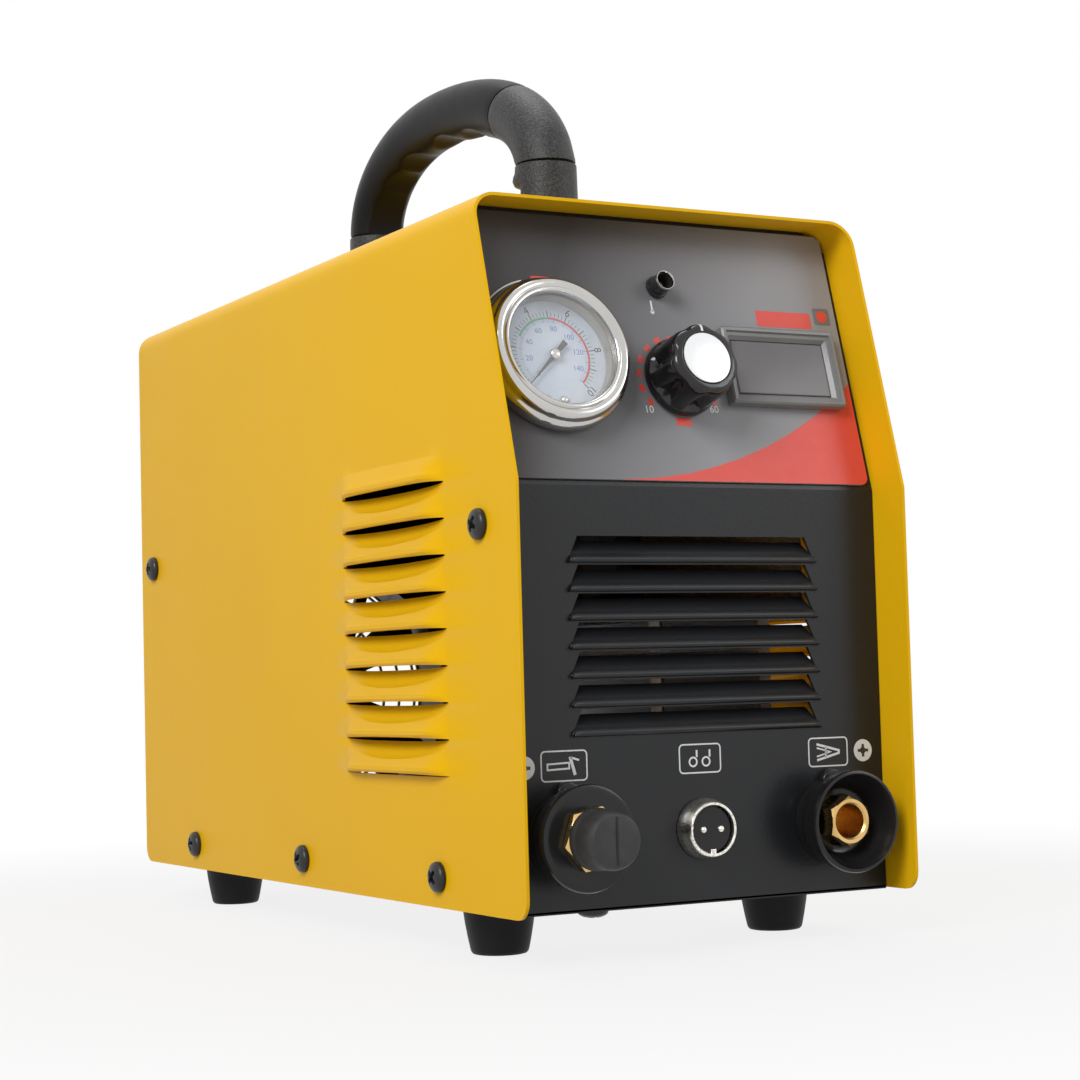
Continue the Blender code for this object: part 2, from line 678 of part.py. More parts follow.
def make_tray(frame, look):
    """Bottom tray with two upturned sides that the lower side screws go into."""
    first = FRONT_RECESS + PLATE + GAP
    last = REAR_FACE - PLATE - GAP
    length = last - first
    middle = (first + last) / 2
    height = TRAY_SIDE - TRAY_BOTTOM
    size = (2 * INNER_HALF, length, height)
    tray = piece("base_tray", box(size, (0, middle, TRAY_BOTTOM + height / 2)), look, frame)
    hollow = (2 * (INNER_HALF - PLATE), length + 0.01, height)
    cut(tray, tool(box(hollow, (0, middle, TRAY_TOP + height / 2)), frame))
    for y, z in side_screw_places():
        if z < TRAY_SIDE:
            cut(tray, screw_hole(frame, y, z))
    drill = rod(SCREW_HOLE_RADIUS, -0.005, 0.005, 12)
    places = [BASE_SCREW] + foot_places()
    cut(tray, *[tool(drill.copy(), frame, (x, y, TRAY_BOTTOM)) for x, y in places])
    return tray


def make_rear_panel(frame, rear, look):
    """Flanged sheet with the fan opening and the holes for switch, gland and air inlet."""
    near = REAR_FACE - PANEL_FLANGE
    outer = [(REAR_FACE, 0), (REAR_FACE, PANEL_TOP), (near, PANEL_TOP), (near, 0)]
    inside = REAR_FACE - PLATE
    inner = [(inside, PLATE), (inside, PANEL_TOP - PLATE), (near - PLATE, PANEL_TOP - PLATE), (near - PLATE, PLATE)]
    panel = piece("rear_panel", side_prism(outer, INNER_HALF), look, frame)
    cut(panel, tool(side_prism(inner, INNER_HALF - PLATE), frame))
    cut(panel, *clear_of_tray(frame, near - PLATE, inside), *trimmed_corners(frame))
    cut(panel, tool(rod(FAN_OPENING_RADIUS, -0.005, 0.005, FINE), rear, (0, FAN_HEIGHT, 0)))
    for x, z in fan_corners():
        cut(panel, tool(rod(SCREW_HOLE_RADIUS, -0.005, 0.005, 12), rear, (x, z, 0)))
    body = box((SWITCH_BODY[0] + 2 * GAP, SWITCH_BODY[1] + 2 * GAP, 0.01))
    cut(panel, tool(body, rear, (*SWITCH_CENTRE, 0)))
    cut(panel, tool(rod(GLAND_STEM_RADIUS + GAP, -0.005, 0.005), rear, (*GLAND_CENTRE, 0)))
    cut(panel, tool(rod(INLET_STEM_RADIUS + GAP, -0.005, 0.005), rear, (*INLET_CENTRE, 0)))
    cut(panel, tool(rod(EARTH_RADIUS + GAP, -0.005, 0.005, 16), rear, (*EARTH_CENTRE, 0)))
    y, z = side_screw_places()[-1]
    cut(panel, screw_hole(frame, y, z))
    return panel


# ---------------------------------------------------------------- feet
def foot_places():
    return [(side * FOOT_SPREAD, y) for y in (FOOT_FRONT, COVER_LENGTH - FOOT_REAR) for side in (-1, 1)]


def make_feet(frame, look):
    """Tapered rubber feet with a rim, a hollow underside and a moulded-in stud."""
    top = TRAY_BOTTOM - GAP
    profile = [(0, TRAY_TOP + FOOT_BORE_DEPTH / 2), (SCREW_SHANK_RADIUS, TRAY_TOP + FOOT_BORE_DEPTH / 2),
               (SCREW_SHANK_RADIUS, top), (FOOT_RIM_RADIUS, top), (FOOT_RIM_RADIUS, top - FOOT_RIM),
               (FOOT_TOP_RADIUS, top - FOOT_RIM), (FOOT_BOTTOM_RADIUS + 0.0004, -FOOT_HEIGHT + 0.0010),
               (FOOT_BOTTOM_RADIUS - 0.0006, -FOOT_HEIGHT), (FOOT_BORE_RADIUS, -FOOT_HEIGHT),
               (FOOT_BORE_RADIUS, -FOOT_HEIGHT + FOOT_BORE_DEPTH), (0, -FOOT_HEIGHT + FOOT_BORE_DEPTH)]
    names = ("front_left", "front_right", "rear_left", "rear_right")
    for name, (x, y) in zip(names, foot_places()):
        turned(f"foot_{name}", profile, look, frame, (x, y, 0))


# ---------------------------------------------------------------- handle
def bezier(start, start_pull, end_pull, end, steps):
    """Points of one cubic bend in the middle plane, as y and z."""
    points = []
    for i in range(steps + 1):
        t = i / steps
        weights = ((1 - t) ** 3, 3 * t * (1 - t) ** 2, 3 * t * t * (1 - t), t ** 3)
        points.append(tuple(sum(w * p[axis] for w, p in zip(weights, (start, start_pull, end_pull, end)))
                            for axis in (0, 1)))
    return points


def handle_bends():
    """Middle line of the grip: the rear bend up to the crest, and the front bend down from it."""
    leg = COVER_HEIGHT + HANDLE_LEG
    top = COVER_HEIGHT + HANDLE_RISE
    rise = top - leg
    back_run = HANDLE_REAR - HANDLE_CREST
    front_run = HANDLE_CREST - HANDLE_FRONT
    crest = (HANDLE_CREST, top)
    rear = bezier((HANDLE_REAR, leg), (HANDLE_REAR, leg + 0.55 * rise), (HANDLE_CREST + 0.6 * back_run, top),
                  crest, 9)
    front = bezier(crest, (HANDLE_CREST - 0.42 * front_run, top), (HANDLE_FRONT + 0.08 * front_run, leg + 0.74 * rise),
                   (HANDLE_FRONT, leg), 12)
    return rear, front


def swept(name, path, radius, resolution, look, frame):
    """A round bar along a path."""
    curve = bpy.data.curves.new(name, "CURVE")
    curve.dimensions = "3D"
    curve.bevel_depth = radius
    curve.bevel_resolution = resolution
    curve.use_fill_caps = True
    spline = curve.splines.new("POLY")
    spline.points.add(len(path) - 1)
    for point, place_of_point in zip(spline.points, path):
        point.co = (*place_of_point, 1)
    item = bpy.data.objects.new("sweep", curve)
    TOOLS.objects.link(item)
    graph = bpy.context.evaluated_depsgraph_get()
    mesh = bpy.data.meshes.new_from_object(item.evaluated_get(graph))
    bpy.data.objects.remove(item)
    bm = bmesh.new()
    bm.from_mesh(mesh)
    bmesh.ops.remove_doubles(bm, verts=bm.verts, dist=0.00001)
    return piece(name, finished(bm, name), look, frame)


def in_middle_plane(path):
    return [(0, y, z) for y, z in path]


def make_handle(frame, look):
    """Arched plastic handle: grip with finger hollows, front shroud and two leg sockets."""
    rear, front = handle_bends()
    split = round(HANDLE_NOSE_SPLIT * (len(front) - 1))
    seam = Vector(front[split])
    ahead = (seam - Vector(front[split - 1])).normalized()
    heel = (HANDLE_REAR, COVER_HEIGHT + HANDLE_LEG)
    grip_path = [(HANDLE_REAR, heel[1] - HANDLE_RADIUS)] + rear + front[1:split + 1]
    foot = Vector(front[-1])
    below = foot + (foot - Vector(front[-2])).normalized() * HANDLE_RADIUS
    nose_path = [tuple(seam + ahead * GAP), tuple(seam + ahead * 0.001)] + front[split + 1:] + [tuple(below)]
    grip = swept("handle_grip", in_middle_plane(grip_path), HANDLE_RADIUS, 4, look, frame)
    shroud = swept("handle_shroud", in_middle_plane(nose_path), HANDLE_RADIUS, 4, look, frame)
    floor = box((4 * HANDLE_RADIUS, 6 * HANDLE_RADIUS, 4 * HANDLE_RADIUS), (0, 0, -2 * HANDLE_RADIUS))
    cut(shroud, tool(floor, frame, (0, *foot)))
    cut(grip, tool(floor.copy(), frame, (0, *heel)))
    first, last = 3, len(grip_path) - 4
    for i in range(FINGER_COUNT):
        at = round(first + (last - first) * i / (FINGER_COUNT - 1))
        here = Vector(grip_path[at])
        along = (Vector(grip_path[at + 1]) - Vector(grip_path[at - 1])).normalized()
        inward = Vector((-along.y, along.x))
        centre = here + inward * (HANDLE_RADIUS + FINGER_RADIUS - FINGER_DEPTH)
        hollow = rod(FINGER_RADIUS, -2 * HANDLE_RADIUS, 2 * HANDLE_RADIUS)
        cut(grip, tool(hollow, frame, (0, centre.x, centre.y), (0, math.pi / 2, 0)))
    bottom = COVER_HEIGHT + GAP
    top = COVER_HEIGHT + HANDLE_LEG - GAP
    socket = rod(HANDLE_RADIUS + HANDLE_FLARE, bottom, top, ROUND, HANDLE_RADIUS + GAP)
    piece("handle_rear_leg", socket.copy(), look, frame, (0, HANDLE_REAR, 0))
    leg = piece("handle_front_leg", socket, look, frame, (0, HANDLE_FRONT, 0))
    notch = (4 * HANDLE_RADIUS, 2 * HANDLE_NOTCH, 2 * HANDLE_NOTCH_HEIGHT)
    cut(leg, tool(box(notch), frame, (0, HANDLE_FRONT + HANDLE_RADIUS + HANDLE_FLARE, COVER_HEIGHT)))


# ---------------------------------------------------------------- gauge
def make_gauge(slope, looks):
    """Round pressure gauge: cup with a rear stem, dial, needle on its pin, glass and chrome bezel."""
    at = (*GAUGE_CENTRE, 0)
    rim = FASCIA_TOP + GAP
    floor = GAUGE_DIAL_HEIGHT - 0.0008 - GAP
    shelf = GAUGE_BEZEL_HEIGHT - GAUGE_GLASS - 0.0012 - GAP
    inner = GAUGE_CASE_RADIUS - GAUGE_WALL
    stem, stem_length = 0.0062, 0.012
    case = [(0, floor), (inner, floor), (inner, shelf - GAP), (GAUGE_CASE_RADIUS, shelf - GAP),
            (GAUGE_CASE_RADIUS, -GAUGE_CASE_DEPTH), (stem, -GAUGE_CASE_DEPTH),
            (stem, -GAUGE_CASE_DEPTH - stem_length), (0, -GAUGE_CASE_DEPTH - stem_length)]
    gauge_case = turned("gauge_case", case, looks["black steel"], slope, at, facets=FINE)
    cut(gauge_case, tool(rod(NEEDLE_PIN + GAP, floor - 0.004, floor + 0.01, 12), slope, at))
    crown = GAUGE_BEZEL_HEIGHT
    wall = GAUGE_CASE_RADIUS + GAP
    bezel = [(GAUGE_OPENING_RADIUS + 0.0012, crown), (GAUGE_BEZEL_RADIUS - 0.0034, crown - 0.0002),
             (GAUGE_BEZEL_RADIUS - 0.0010, crown - 0.0018), (GAUGE_BEZEL_RADIUS - 0.0010, crown - 0.0042),
             (GAUGE_BEZEL_RADIUS, crown - 0.0052), (GAUGE_BEZEL_RADIUS, rim + 0.0006),
             (GAUGE_BEZEL_RADIUS - 0.0006, rim), (wall, rim), (wall, shelf), (GAUGE_GLASS_RADIUS + GAP, shelf),
             (GAUGE_GLASS_RADIUS + GAP, crown - 0.0012), (GAUGE_OPENING_RADIUS, crown - 0.0012)]
    turned("gauge_bezel", bezel, looks["chrome"], slope, at, facets=FINE, ring=True)
    glass = rod(GAUGE_GLASS_RADIUS, shelf, shelf + GAUGE_GLASS, FINE)
    piece("gauge_glass", glass, looks["glass"], slope, at)
    dial = piece("gauge_dial", rod(inner - GAP, floor + GAP, GAUGE_DIAL_HEIGHT, FINE), looks["white"], slope, at)
    cut(dial, tool(rod(NEEDLE_PIN + GAP, floor, floor + 0.01, 12), slope, at))
    make_needle(slope, at, looks["black plastic"])


def make_needle(slope, at, look):
    """Pointer at its zero stop, lower left, with a wide tail and a hub on a pin."""
    pivot = empty_frame("needle_pivot", slope, at, (0, 0, NEEDLE_REST))
    low = GAUGE_DIAL_HEIGHT + 0.0012
    blade = [(-NEEDLE_TAIL, -0.0012), (0, -0.0009), (NEEDLE_REACH, -0.0002),
             (NEEDLE_REACH, 0.0002), (0, 0.0009), (-NEEDLE_TAIL, 0.0012)]
    needle = piece("gauge_needle", prism(blade, low, low + 0.0004), look, pivot)
    pin = GAUGE_DIAL_HEIGHT - 0.0036
    hub = [(0, low + 0.0012), (0.0018, low + 0.0009), (0.0022, low), (0.0022, low - 0.0004),
           (NEEDLE_PIN, low - 0.0004), (NEEDLE_PIN, pin), (0, pin)]
    join(needle, turned_tool(hub, pivot, facets=16))


# ---------------------------------------------------------------- current meter
def make_meter(slope, looks):
    """Snap-in digital meter: frame and body in one moulding, with a dark window set in it."""
    at = (*METER_CENTRE, 0)
    rim = FASCIA_TOP + GAP
    outline = rounded_rectangle(METER_WIDTH, METER_HEIGHT, 0.0006, 1)
    frame = piece("meter_case", prism(outline, rim, METER_RISE), looks["black plastic"], slope, at)
    overlap = rim + 0.0005
    join(frame, tool(box((*METER_BODY, METER_DEPTH + overlap), (0, 0, (overlap - METER_DEPTH) / 2)), slope, at))
    opening = box((*METER_WINDOW, METER_DEPTH), (0, 0, METER_RISE - METER_WINDOW_DROP + METER_DEPTH / 2))
    cut(frame, tool(opening, slope, at))
    hollow = (METER_BODY[0] - 2 * METER_WALL, METER_BODY[1] - 2 * METER_WALL, METER_DEPTH)
    cut(frame, tool(box(hollow, (0, 0, -METER_DEPTH / 2 - METER_WALL)), slope, at))
    bottom = METER_RISE - METER_WINDOW_DROP + GAP
    window = (METER_WINDOW[0] - 2 * GAP, METER_WINDOW[1] - 2 * GAP, METER_WINDOW_DROP / 2)
    piece("meter_window", box(window, (0, 0, bottom + window[2] / 2)), looks["dark glass"], slope, at)


# ---------------------------------------------------------------- current knob
def make_knob(slope, looks):
    """Fluted knob with a skirt and an aluminium cap, on the shaft of a panel potentiometer."""
    pivot = empty_frame("knob_pivot", slope, (*KNOB_CENTRE, 0))
    base = FASCIA_TOP + KNOB_LIFT
    flutes = []
    count = KNOB_LOBES * 4
    for i in range(count):
        angle = 2 * math.pi * i / count
        wave = (1 + math.cos(KNOB_LOBES * angle)) / 2
        radius = KNOB_RADIUS - KNOB_FLUTE_DEPTH * (1 - wave) ** 2
        flutes.append((-radius * math.sin(angle), radius * math.cos(angle)))
    knob = piece("current_knob", prism(flutes, base + 0.001, KNOB_HEIGHT), looks["gloss black"], pivot)
    skirt = [(0, base + KNOB_SKIRT_HEIGHT), (KNOB_SKIRT_RADIUS - 0.0014, base + KNOB_SKIRT_HEIGHT),
             (KNOB_SKIRT_RADIUS, base + 0.0010), (KNOB_SKIRT_RADIUS, base), (0, base)]
    join(knob, turned_tool(skirt, pivot, facets=count))
    recess = 0.0006
    cut(knob, tool(rod(KNOB_CAP_RADIUS + GAP, KNOB_HEIGHT - recess, KNOB_HEIGHT + 0.01, FINE), pivot))
    cut(knob, tool(rod(0.0075, base - 0.001, base + 0.0035), pivot))
    cut(knob, tool(rod(SHAFT_RADIUS + GAP, base - 0.001, KNOB_HEIGHT - 0.004, 16), pivot))
    cap_bottom = KNOB_HEIGHT - recess + GAP
    cap_top = KNOB_HEIGHT + KNOB_CAP_RISE
    cap = [(0, cap_top), (KNOB_CAP_RADIUS - 0.0005, cap_top), (KNOB_CAP_RADIUS, cap_top - 0.0004),
           (KNOB_CAP_RADIUS, cap_bottom), (0, cap_bottom)]
    turned("knob_cap", cap, looks["aluminium"], pivot, facets=FINE)
    end = -PLATE - GAP - 0.006
    piece("knob_shaft", rod(SHAFT_RADIUS, end, KNOB_HEIGHT - 0.004 - GAP, 16), looks["steel"], pivot)
    make_potentiometer(slope, looks["steel"], end)


def make_potentiometer(slope, look, shaft_end):
    """Threaded bush through panel and fascia, with its nut, and the round body behind."""
    back = -PLATE - GAP
    front = FASCIA_TOP + GAP
    nut = 0.0058
    bore = SHAFT_RADIUS + GAP
    body = [(bore, front + 0.0030), (BUSH_RADIUS + 0.0004, front + 0.0030), (BUSH_RADIUS + 0.0004, front + 0.0026),
            (nut, front + 0.0024), (nut, front), (BUSH_RADIUS, front), (BUSH_RADIUS, back), (POT_RADIUS, back),
            (POT_RADIUS, back - POT_DEPTH), (0, back - POT_DEPTH), (0, shaft_end - GAP), (bore, shaft_end - GAP)]
    turned("potentiometer", body + body[:1], look, slope, (*KNOB_CENTRE, 0))


# ---------------------------------------------------------------- lamp
def make_lamp(slope, looks):
    """Warning lamp: a bright bezel tube through the panel with a lens down inside it."""
    at = (*LED_CENTRE, 0)
    front = FASCIA_TOP + GAP
    back = -PLATE - LED_STEM
    bezel = [(LED_BORE_RADIUS, LED_BEZEL_RISE), (LED_BEZEL_RADIUS - 0.0003, LED_BEZEL_RISE),
             (LED_BEZEL_RADIUS, LED_BEZEL_RISE - 0.0004), (LED_BEZEL_RADIUS, front + 0.0012),
             (LED_BEZEL_RADIUS + 0.0007, front + 0.0010), (LED_BEZEL_RADIUS + 0.0007, front),
             (LED_STEM_RADIUS, front), (LED_STEM_RADIUS, back), (LED_BORE_RADIUS, back)]
    turned("lamp_bezel", bezel, looks["chrome"], slope, at, facets=20, ring=True)
    radius = LED_BORE_RADIUS - GAP
    top = LED_BEZEL_RISE - 0.0030
    lens_profile = arc((0, top - radius), radius, math.pi / 2, 0, 4) + [(radius, back + 0.001), (0, back + 0.001)]
    turned("lamp_lens", lens_profile, looks["red lens"], slope, at, facets=16)


# ---------------------------------------------------------------- front sockets
def locating_lug(front, at):
    """Half-round lug above a socket, against the panel."""
    half = LUG_WIDTH / 2
    shoulder = LUG_REACH - half
    outline = [(-half, SOCKET_STEM_RADIUS), (half, SOCKET_STEM_RADIUS)] + arc((0, shoulder), half, 0, math.pi, 6)
    return tool(prism(outline, GAP, SOCKET_BASE * 0.7), front, at)


def make_torch_socket(front, looks):
    """Torch outlet: black insulator body with a brass hexagon and spigot, and a rubber cap pushed on."""
    at = (-SOCKET_SPREAD, SOCKET_HEIGHT, 0)
    bore = TORCH_SPIGOT_RADIUS + GAP
    back = -PLATE - SOCKET_STEM
    body = [(bore, SOCKET_RISE), (SOCKET_RADIUS - 0.0010, SOCKET_RISE), (SOCKET_RADIUS, SOCKET_RISE - 0.0012),
            (SOCKET_RADIUS - 0.0004, SOCKET_RISE - 0.0060), (SOCKET_BASE_RADIUS, SOCKET_BASE),
            (SOCKET_BASE_RADIUS, GAP), (SOCKET_STEM_RADIUS, GAP), (SOCKET_STEM_RADIUS, back), (bore, back)]
    socket = turned("torch_socket", body, looks["black plastic"], front, at, facets=FINE, ring=True)
    join(socket, locating_lug(front, at))
    seat = SOCKET_RISE + GAP
    face = seat + TORCH_NUT_THICKNESS
    nut = piece("torch_nut", prism(hexagon(TORCH_NUT_ACROSS, NUT_TURN), seat, face), looks["brass"], front, at)
    join(nut, tool(rod(TORCH_SPIGOT_RADIUS, back - 0.004, face + TORCH_SPIGOT), front, at))
    cut(nut, tool(rod(0.0022, face + TORCH_SPIGOT - 0.012, face + TORCH_SPIGOT + 0.01, 12), front, at))
    make_torch_cap(front, (at[0], at[1], face + GAP), looks["rubber"])


def make_torch_cap(front, at, look):
    """Soft dust cap over the spigot; it pulls straight off."""
    height = CAP_COLLAR + CAP_LENGTH
    edge = arc((CAP_RADIUS - CAP_ROUND, height - CAP_ROUND), CAP_ROUND, math.pi / 2, 0, 3)
    bore = TORCH_SPIGOT_RADIUS + GAP
    depth = TORCH_SPIGOT + 0.0015
    cap = [(0, height)] + edge + [(CAP_RADIUS, CAP_COLLAR), (CAP_COLLAR_RADIUS, CAP_COLLAR - 0.0006),
                                  (CAP_COLLAR_RADIUS, 0), (bore, 0), (bore, depth), (0, depth)]
    item = turned("torch_cap", cap, look, front, at, facets=FINE)
    cut(item, tool(box((0.0008, CAP_RADIUS * 1.3, 0.0016), (0, 0, height)), front, at))


def make_pilot_socket(front, looks):
    """Two-pin round plug for the torch trigger: nickel shell with a key, black insert, two pins."""
    at = (0, PILOT_HEIGHT, 0)
    back = -PLATE - PILOT_STEM
    shell = [(PILOT_BORE_RADIUS, PILOT_RISE), (PILOT_RADIUS - 0.0009, PILOT_RISE),
             (PILOT_RADIUS - 0.0002, PILOT_RISE - 0.0010), (PILOT_RADIUS - 0.0002, 0.0020),
             (PILOT_RADIUS, 0.0016), (PILOT_RADIUS, GAP), (PILOT_STEM_RADIUS, GAP),
             (PILOT_STEM_RADIUS, back), (PILOT_BORE_RADIUS - 0.0020, back),
             (PILOT_BORE_RADIUS - 0.0020, PILOT_RISE - PILOT_BORE_DEPTH - 0.002),
             (PILOT_BORE_RADIUS, PILOT_RISE - PILOT_BORE_DEPTH - 0.002)]
    socket = turned("pilot_socket", shell, looks["nickel"], front, at, facets=FINE, ring=True)
    top = PILOT_RISE - 0.0004
    middle = (0, -PILOT_BORE_RADIUS + 0.0002, (top + GAP) / 2)
    join(socket, tool(box((KEY_WIDTH, 0.0012, top - GAP), middle), front, at))
    floor = PILOT_RISE - PILOT_BORE_DEPTH
    insert_radius = PILOT_BORE_RADIUS - 2 * GAP - 0.0004
    insert = piece("pilot_insert", rod(insert_radius, floor - 0.0020 + GAP, floor, FINE), looks["black plastic"], front, at)
    tail = floor - 0.0060
    for name, side in (("left", -1), ("right", 1)):
        centre = (side * PIN_SPACING / 2, PILOT_HEIGHT, 0)
        cut(insert, tool(rod(PIN_RADIUS + GAP / 2, floor - 0.01, floor + 0.01, 12), front, centre))
        tip = PILOT_RISE - PIN_DROP
        pin = [(0, tip), (PIN_RADIUS * 0.6, tip), (PIN_RADIUS, tip - 0.0006), (PIN_RADIUS, tail), (0, tail)]
        turned(f"pilot_pin_{name}", pin, looks["brass"], front, centre, facets=12)


def make_earth_socket(front, looks):
    """Earth lead socket: black cup with a locating lug round a hexagonal brass contact with a bore."""
    at = (SOCKET_SPREAD, SOCKET_HEIGHT, 0)
    back = -PLATE - SOCKET_STEM
    collar = CONTACT_ACROSS / math.sqrt(3) + 0.0006
    cup = [(SOCKET_RADIUS - CUP_WALL + 0.0004, SOCKET_RISE), (SOCKET_RADIUS - 0.0004, SOCKET_RISE),
           (SOCKET_RADIUS, SOCKET_RISE - 0.0008), (SOCKET_RADIUS - 0.0004, SOCKET_RISE - 0.0060),
           (SOCKET_BASE_RADIUS, SOCKET_BASE), (SOCKET_BASE_RADIUS, GAP), (SOCKET_STEM_RADIUS, GAP),
           (SOCKET_STEM_RADIUS, back), (CONTACT_STEM + GAP, back), (CONTACT_STEM + GAP, CUP_FLOOR - 0.0030),
           (collar, CUP_FLOOR - 0.0030), (collar, CUP_FLOOR), (CUP_FLOOR_RADIUS, CUP_FLOOR),
           (SOCKET_RADIUS - CUP_WALL - 0.0008, SOCKET_RISE - 0.0024), (SOCKET_RADIUS - CUP_WALL, SOCKET_RISE - 0.0010)]
    socket = turned("earth_socket", cup, looks["black plastic"], front, at, facets=FINE, ring=True)
    join(socket, locating_lug(front, at))
    low = CUP_FLOOR - 0.0030 + GAP
    contact = piece("earth_contact", prism(hexagon(CONTACT_ACROSS, CONTACT_TURN), low, CONTACT_RISE),
                    looks["brass"], front, at)
    join(contact, tool(rod(CONTACT_STEM, back - 0.006, low + 0.001), front, at))
    cut(contact, tool(rod(CONTACT_BORE_RADIUS, CONTACT_RISE - CONTACT_BORE_DEPTH, CONTACT_RISE + 0.01), front, at))


# ---------------------------------------------------------------- fan and guard
def fan_corners():
    half = FAN_HOLE_SPACING / 2
    return [(sx * half, FAN_HEIGHT + sz * half) for sz in (-1, 1) for sx in (-1, 1)]


def make_fan_frame(rear, look):
    """Square frame with a round duct, four bolt holes and a hub plate on four struts."""
    front = -PLATE - GAP
    back = front - FAN_DEPTH
    outline = rounded_rectangle(FAN_SIZE, FAN_SIZE, 0.006, 3)
    frame = piece("fan_frame", prism(outline, back, front), look, rear, (0, FAN_HEIGHT, 0))
    cut(frame, tool(rod(FAN_BORE_RADIUS, back - 0.01, front + 0.01, FINE), rear, (0, FAN_HEIGHT, 0)))
    for x, z in fan_corners():
        cut(frame, tool(rod(SCREW_HOLE_RADIUS, back - 0.01, front + 0.01, 12), rear, (x, z, 0)))
    waist = FAN_DEPTH - 0.008
    pinch = rounded_rectangle(FAN_SIZE * 0.34, FAN_SIZE * 0.34, 0.004, 2)
    for sx, sz in ((1, 1), (-1, 1), (-1, -1), (1, -1)):
        scoop = prism(pinch, back + 0.004, back + 0.004 + waist)
        reach = FAN_SIZE / 2 + FAN_SIZE * 0.07
        corner = tool(scoop, rear, (sx * reach, FAN_HEIGHT + sz * reach, 0), (0, 0, math.pi / 4))
        cut(frame, corner)
    join(frame, tool(rod(FAN_HUB_RADIUS, back, back + FAN_HUB_PLATE), rear, (0, FAN_HEIGHT, 0)))
    strut = box((FAN_BORE_RADIUS - FAN_HUB_RADIUS + 0.003, FAN_STRUT_WIDTH, FAN_HUB_PLATE),
                ((FAN_BORE_RADIUS + FAN_HUB_RADIUS) / 2, 0, back + FAN_HUB_PLATE / 2))
    for i in range(4):
        join(frame, tool(strut.copy(), rear, (0, FAN_HEIGHT, 0), (0, 0, math.radians(20 + 90 * i))))
    cut(frame, tool(rod(FAN_AXLE_RADIUS + GAP, back - 0.01, back + 0.01, 12), rear, (0, FAN_HEIGHT, 0)))
    return frame


def blade_mesh(low, high):
    """One twisted fan blade, closed, from inside the hub out to the tip."""
    spans, chords = 3, 3
    bm = bmesh.new()
    rings = []
    for i in range(spans + 1):
        share = i / spans
        radius = FAN_HUB_RADIUS - 0.0015 + (FAN_BLADE_RADIUS - FAN_HUB_RADIUS + 0.0015) * share
        sweep = FAN_BLADE_SWEEP * (1 - 0.25 * share)
        lead = math.radians(6) * share
        top, bottom = [], []
        for j in range(chords + 1):
            t = j / chords
            angle = lead + sweep * (t - 0.5)
            height = low + (high - low) * (t ** 0.85) * (1 - 0.12 * share) + 0.0006
            spot = (radius * math.cos(angle), radius * math.sin(angle))
            top.append(bm.verts.new((*spot, height + FAN_BLADE / 2)))
            bottom.append(bm.verts.new((*spot, height - FAN_BLADE / 2)))
        rings.append(top + bottom[::-1])
    count = len(rings[0])
    for inner, outer in zip(rings, rings[1:]):
        for j in range(count):
            k = (j + 1) % count
            bm.faces.new((inner[j], inner[k], outer[k], outer[j]))
    bm.faces.new(rings[0])
    bm.faces.new(rings[-1][::-1])
    return finished(bm, "blade")


def make_fan_rotor(rear, look):
    """Hub with five twisted blades on a short axle that runs in the frame's hub plate."""
    front = -PLATE - GAP
    back = front - FAN_DEPTH
    pivot = empty_frame("fan_pivot", rear, (0, FAN_HEIGHT, 0))
    low = back + FAN_HUB_PLATE + 0.0008
    high = front - 0.0020
    edge = 0.0015
    hub = [(0, high), (FAN_HUB_RADIUS - edge, high), (FAN_HUB_RADIUS, high - edge), (FAN_HUB_RADIUS, low),
           (FAN_AXLE_RADIUS, low), (FAN_AXLE_RADIUS, back + 0.0002), (0, back + 0.0002)]
    rotor = turned("fan_rotor", hub, look, pivot, facets=20)
    blade = blade_mesh(low + 0.002, high - 0.002)
    for i in range(FAN_BLADES):
        angle = FAN_REST + 2 * math.pi * i / FAN_BLADES
        join(rotor, tool(blade.copy(), pivot, (0, 0, 0), (0, 0, angle)))
    return rotor


def make_guard(rear, look):
    """Wire finger guard: rings on two crossed wires that end in four screwed eyes."""
    at = (0, FAN_HEIGHT, 0)
    reach = FAN_HOLE_SPACING / math.sqrt(2)
    facets = 18
    hub = rod(GUARD_STEP, GUARD_LIFT - GUARD_WIRE, GUARD_LIFT + GUARD_WIRE, facets)
    guard = piece("fan_guard", hub, look, rear, at)
    for k in range(GUARD_RINGS):
        section = arc((GUARD_STEP * (k + 2), GUARD_LIFT), GUARD_WIRE, 0, -1.5 * math.pi, 3)
        join(guard, turned_tool(section, rear, at, facets=facets, ring=True))
    for i, angle in enumerate((math.pi / 4, -math.pi / 4)):
        height = GUARD_LIFT - GUARD_WIRE * (1.2 + 0.4 * i)
        wire = rod(GUARD_WIRE, GUARD_EYE_RADIUS / 2 - reach, reach - GUARD_EYE_RADIUS / 2, 6)
        join(guard, tool(wire, rear, (0, FAN_HEIGHT, height), (math.pi / 2, 0, angle + math.pi / 2)))
    eye = [(0, 0.0055), (SCREW_SHANK_RADIUS * 1.6, 0.0055), (SCREW_SHANK_RADIUS * 2, 0.0050),
           (SCREW_SHANK_RADIUS * 2, 0.0032), (GUARD_EYE_RADIUS, 0.0032), (GUARD_EYE_RADIUS, GAP),
           (SCREW_SHANK_RADIUS, GAP), (SCREW_SHANK_RADIUS, -PLATE - FAN_DEPTH / 2), (0, -PLATE - FAN_DEPTH / 2)]
    for x, z in fan_corners():
        join(guard, turned_tool(eye, rear, (x, z, 0), facets=8))
    return guard


